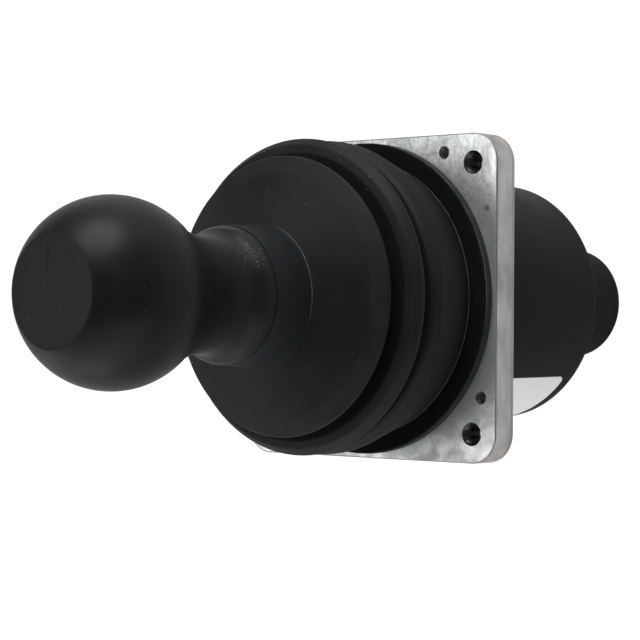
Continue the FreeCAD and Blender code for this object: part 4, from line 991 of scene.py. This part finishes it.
def make_can():
    """The can with its rounded end, and the connector shell with its neck, socket and eased mouth."""
    can = lathe("can", rounded([
        (NECK_RADIUS + NECK_CLEARANCE, CAN_END, 0.0), (CAN_END_RADIUS, CAN_END, 1.2),
        (CAN_RIM_RADIUS, CAN_TOP, 0.3), (CAN_RIM_RADIUS - CAN_WALL, CAN_TOP, 0.3),
        (CAN_END_RADIUS - CAN_WALL, CAN_END + CAN_FLOOR, 1.5),
        (NECK_RADIUS + NECK_CLEARANCE, CAN_END + CAN_FLOOR, 0.0),
    ]), LOOKS["can_black"], base=0.0)
    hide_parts("housing_can")
    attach(can, "base")
    mouth = FLOOR_LEVEL / MM
    shell = lathe("connector", rounded([
        (SHELL_BORE, NECK_TOP, 0.2), (NECK_RADIUS, NECK_TOP, 0.4), (NECK_RADIUS, CAN_END, 0.0),
        (SHELL_RADIUS - 0.1, CAN_END, 0.0), (SHELL_RADIUS, CAN_END - 1.0, 0.4),
        (SHELL_RADIUS, mouth + 12.0, 0.3), (SHELL_RADIUS - SHELL_SHADOW, mouth + 11.6, 0.3),
        (SHELL_RADIUS - SHELL_SHADOW, mouth, 0.8), (SOCKET_RADIUS, mouth, 0.5),
        (SOCKET_RADIUS, mouth + SOCKET_DEPTH, 0.0), (SHELL_BORE, mouth + SOCKET_DEPTH, 0.3),
    ]), LOOKS["shell_black"], base=0.0)
    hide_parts("connector_shell")
    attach(shell, "base")


def make_floor():
    """White floor that keeps a faint shadow; the camera sees most of its glow and reflections a little."""
    bpy.ops.mesh.primitive_plane_add(size=FLOOR_SIZE, location=(0.0, 0.0, FLOOR_LEVEL - FLOOR_GAP))
    floor = bpy.context.object
    floor.name = "floor"
    paper = bpy.data.materials.new("floor_paper")
    tree = empty_tree(paper)
    matte = add_node(tree, "ShaderNodeBsdfDiffuse", {"Color": (*grey(FLOOR_TONE), 1.0)})
    glow = add_node(tree, "ShaderNodeEmission", {"Strength": FLOOR_GLOW})
    path = add_node(tree, "ShaderNodeLightPath")
    seen = add_node(tree, "ShaderNodeMath", {1: FLOOR_SHARE_SEEN}, operation="MULTIPLY")
    glossy = add_node(tree, "ShaderNodeMath", {1: FLOOR_SHARE_GLOSSY}, operation="MULTIPLY")
    either = add_node(tree, "ShaderNodeMath", operation="ADD")
    mix = add_node(tree, "ShaderNodeMixShader")
    output = add_node(tree, "ShaderNodeOutputMaterial")
    for source, target in (
        (path.outputs["Is Camera Ray"], seen.inputs[0]),
        (path.outputs["Is Glossy Ray"], glossy.inputs[0]),
        (seen.outputs["Value"], either.inputs[0]),
        (glossy.outputs["Value"], either.inputs[1]),
        (either.outputs["Value"], mix.inputs["Fac"]),
        (matte.outputs["BSDF"], mix.inputs[1]),
        (glow.outputs["Emission"], mix.inputs[2]),
        (mix.outputs["Shader"], output.inputs["Surface"]),
    ):
        tree.links.new(source, target)
    floor.data.materials.append(paper)


def make_world():
    """A pale world that the camera sees as white."""
    world = bpy.data.worlds.new("studio")
    bpy.context.scene.world = world
    tree = empty_tree(world)
    path = add_node(tree, "ShaderNodeLightPath")
    strength = add_node(tree, "ShaderNodeMapRange", {"To Min": WORLD_LIGHT, "To Max": WORLD_SEEN})
    sky = add_node(tree, "ShaderNodeBackground")
    output = add_node(tree, "ShaderNodeOutputWorld")
    tree.links.new(path.outputs["Is Camera Ray"], strength.inputs["Value"])
    tree.links.new(strength.outputs["Result"], sky.inputs["Strength"])
    tree.links.new(sky.outputs["Background"], output.inputs["Surface"])


def make_lamps():
    """Soft round lamps, all turned to the same point of the part."""
    for name, place, size, power in LAMPS:
        lamp = bpy.data.lights.new(name, "AREA")
        lamp.shape = "DISK"
        lamp.size = size
        lamp.energy = power
        holder = bpy.data.objects.new(name, lamp)
        holder.location = place
        holder.rotation_euler = (LAMP_AIM - Vector(place)).to_track_quat("-Z", "Y").to_euler()
        bpy.context.scene.collection.objects.link(holder)


def make_camera():
    """The photograph's viewpoint, with the part's +Y up in the picture."""
    away = (CAMERA_PLACE - CAMERA_TARGET).normalized()
    up = Vector((0.0, 1.0, 0.0))
    up = (up - away * up.dot(away)).normalized()
    up = Matrix.Rotation(CAMERA_ROLL, 3, away) @ up
    right = up.cross(away)
    lens = bpy.data.cameras.new("camera")
    lens.lens = LENS
    lens.sensor_width = SENSOR
    lens.clip_start = CAMERA_START
    camera = bpy.data.objects.new("camera", lens)
    camera.matrix_world = Matrix.Translation(CAMERA_PLACE) @ Matrix((right, up, away)).transposed().to_4x4()
    bpy.context.scene.collection.objects.link(camera)
    bpy.context.scene.camera = camera


def main():
    bpy.context.scene.view_settings.view_transform = "Standard"
    make_camera()
    make_floor()
    make_world()
    make_lamps()
    dress_nodes()
    make_boot()
    make_spring()
    make_knob()
    make_plate()
    make_can()


main()
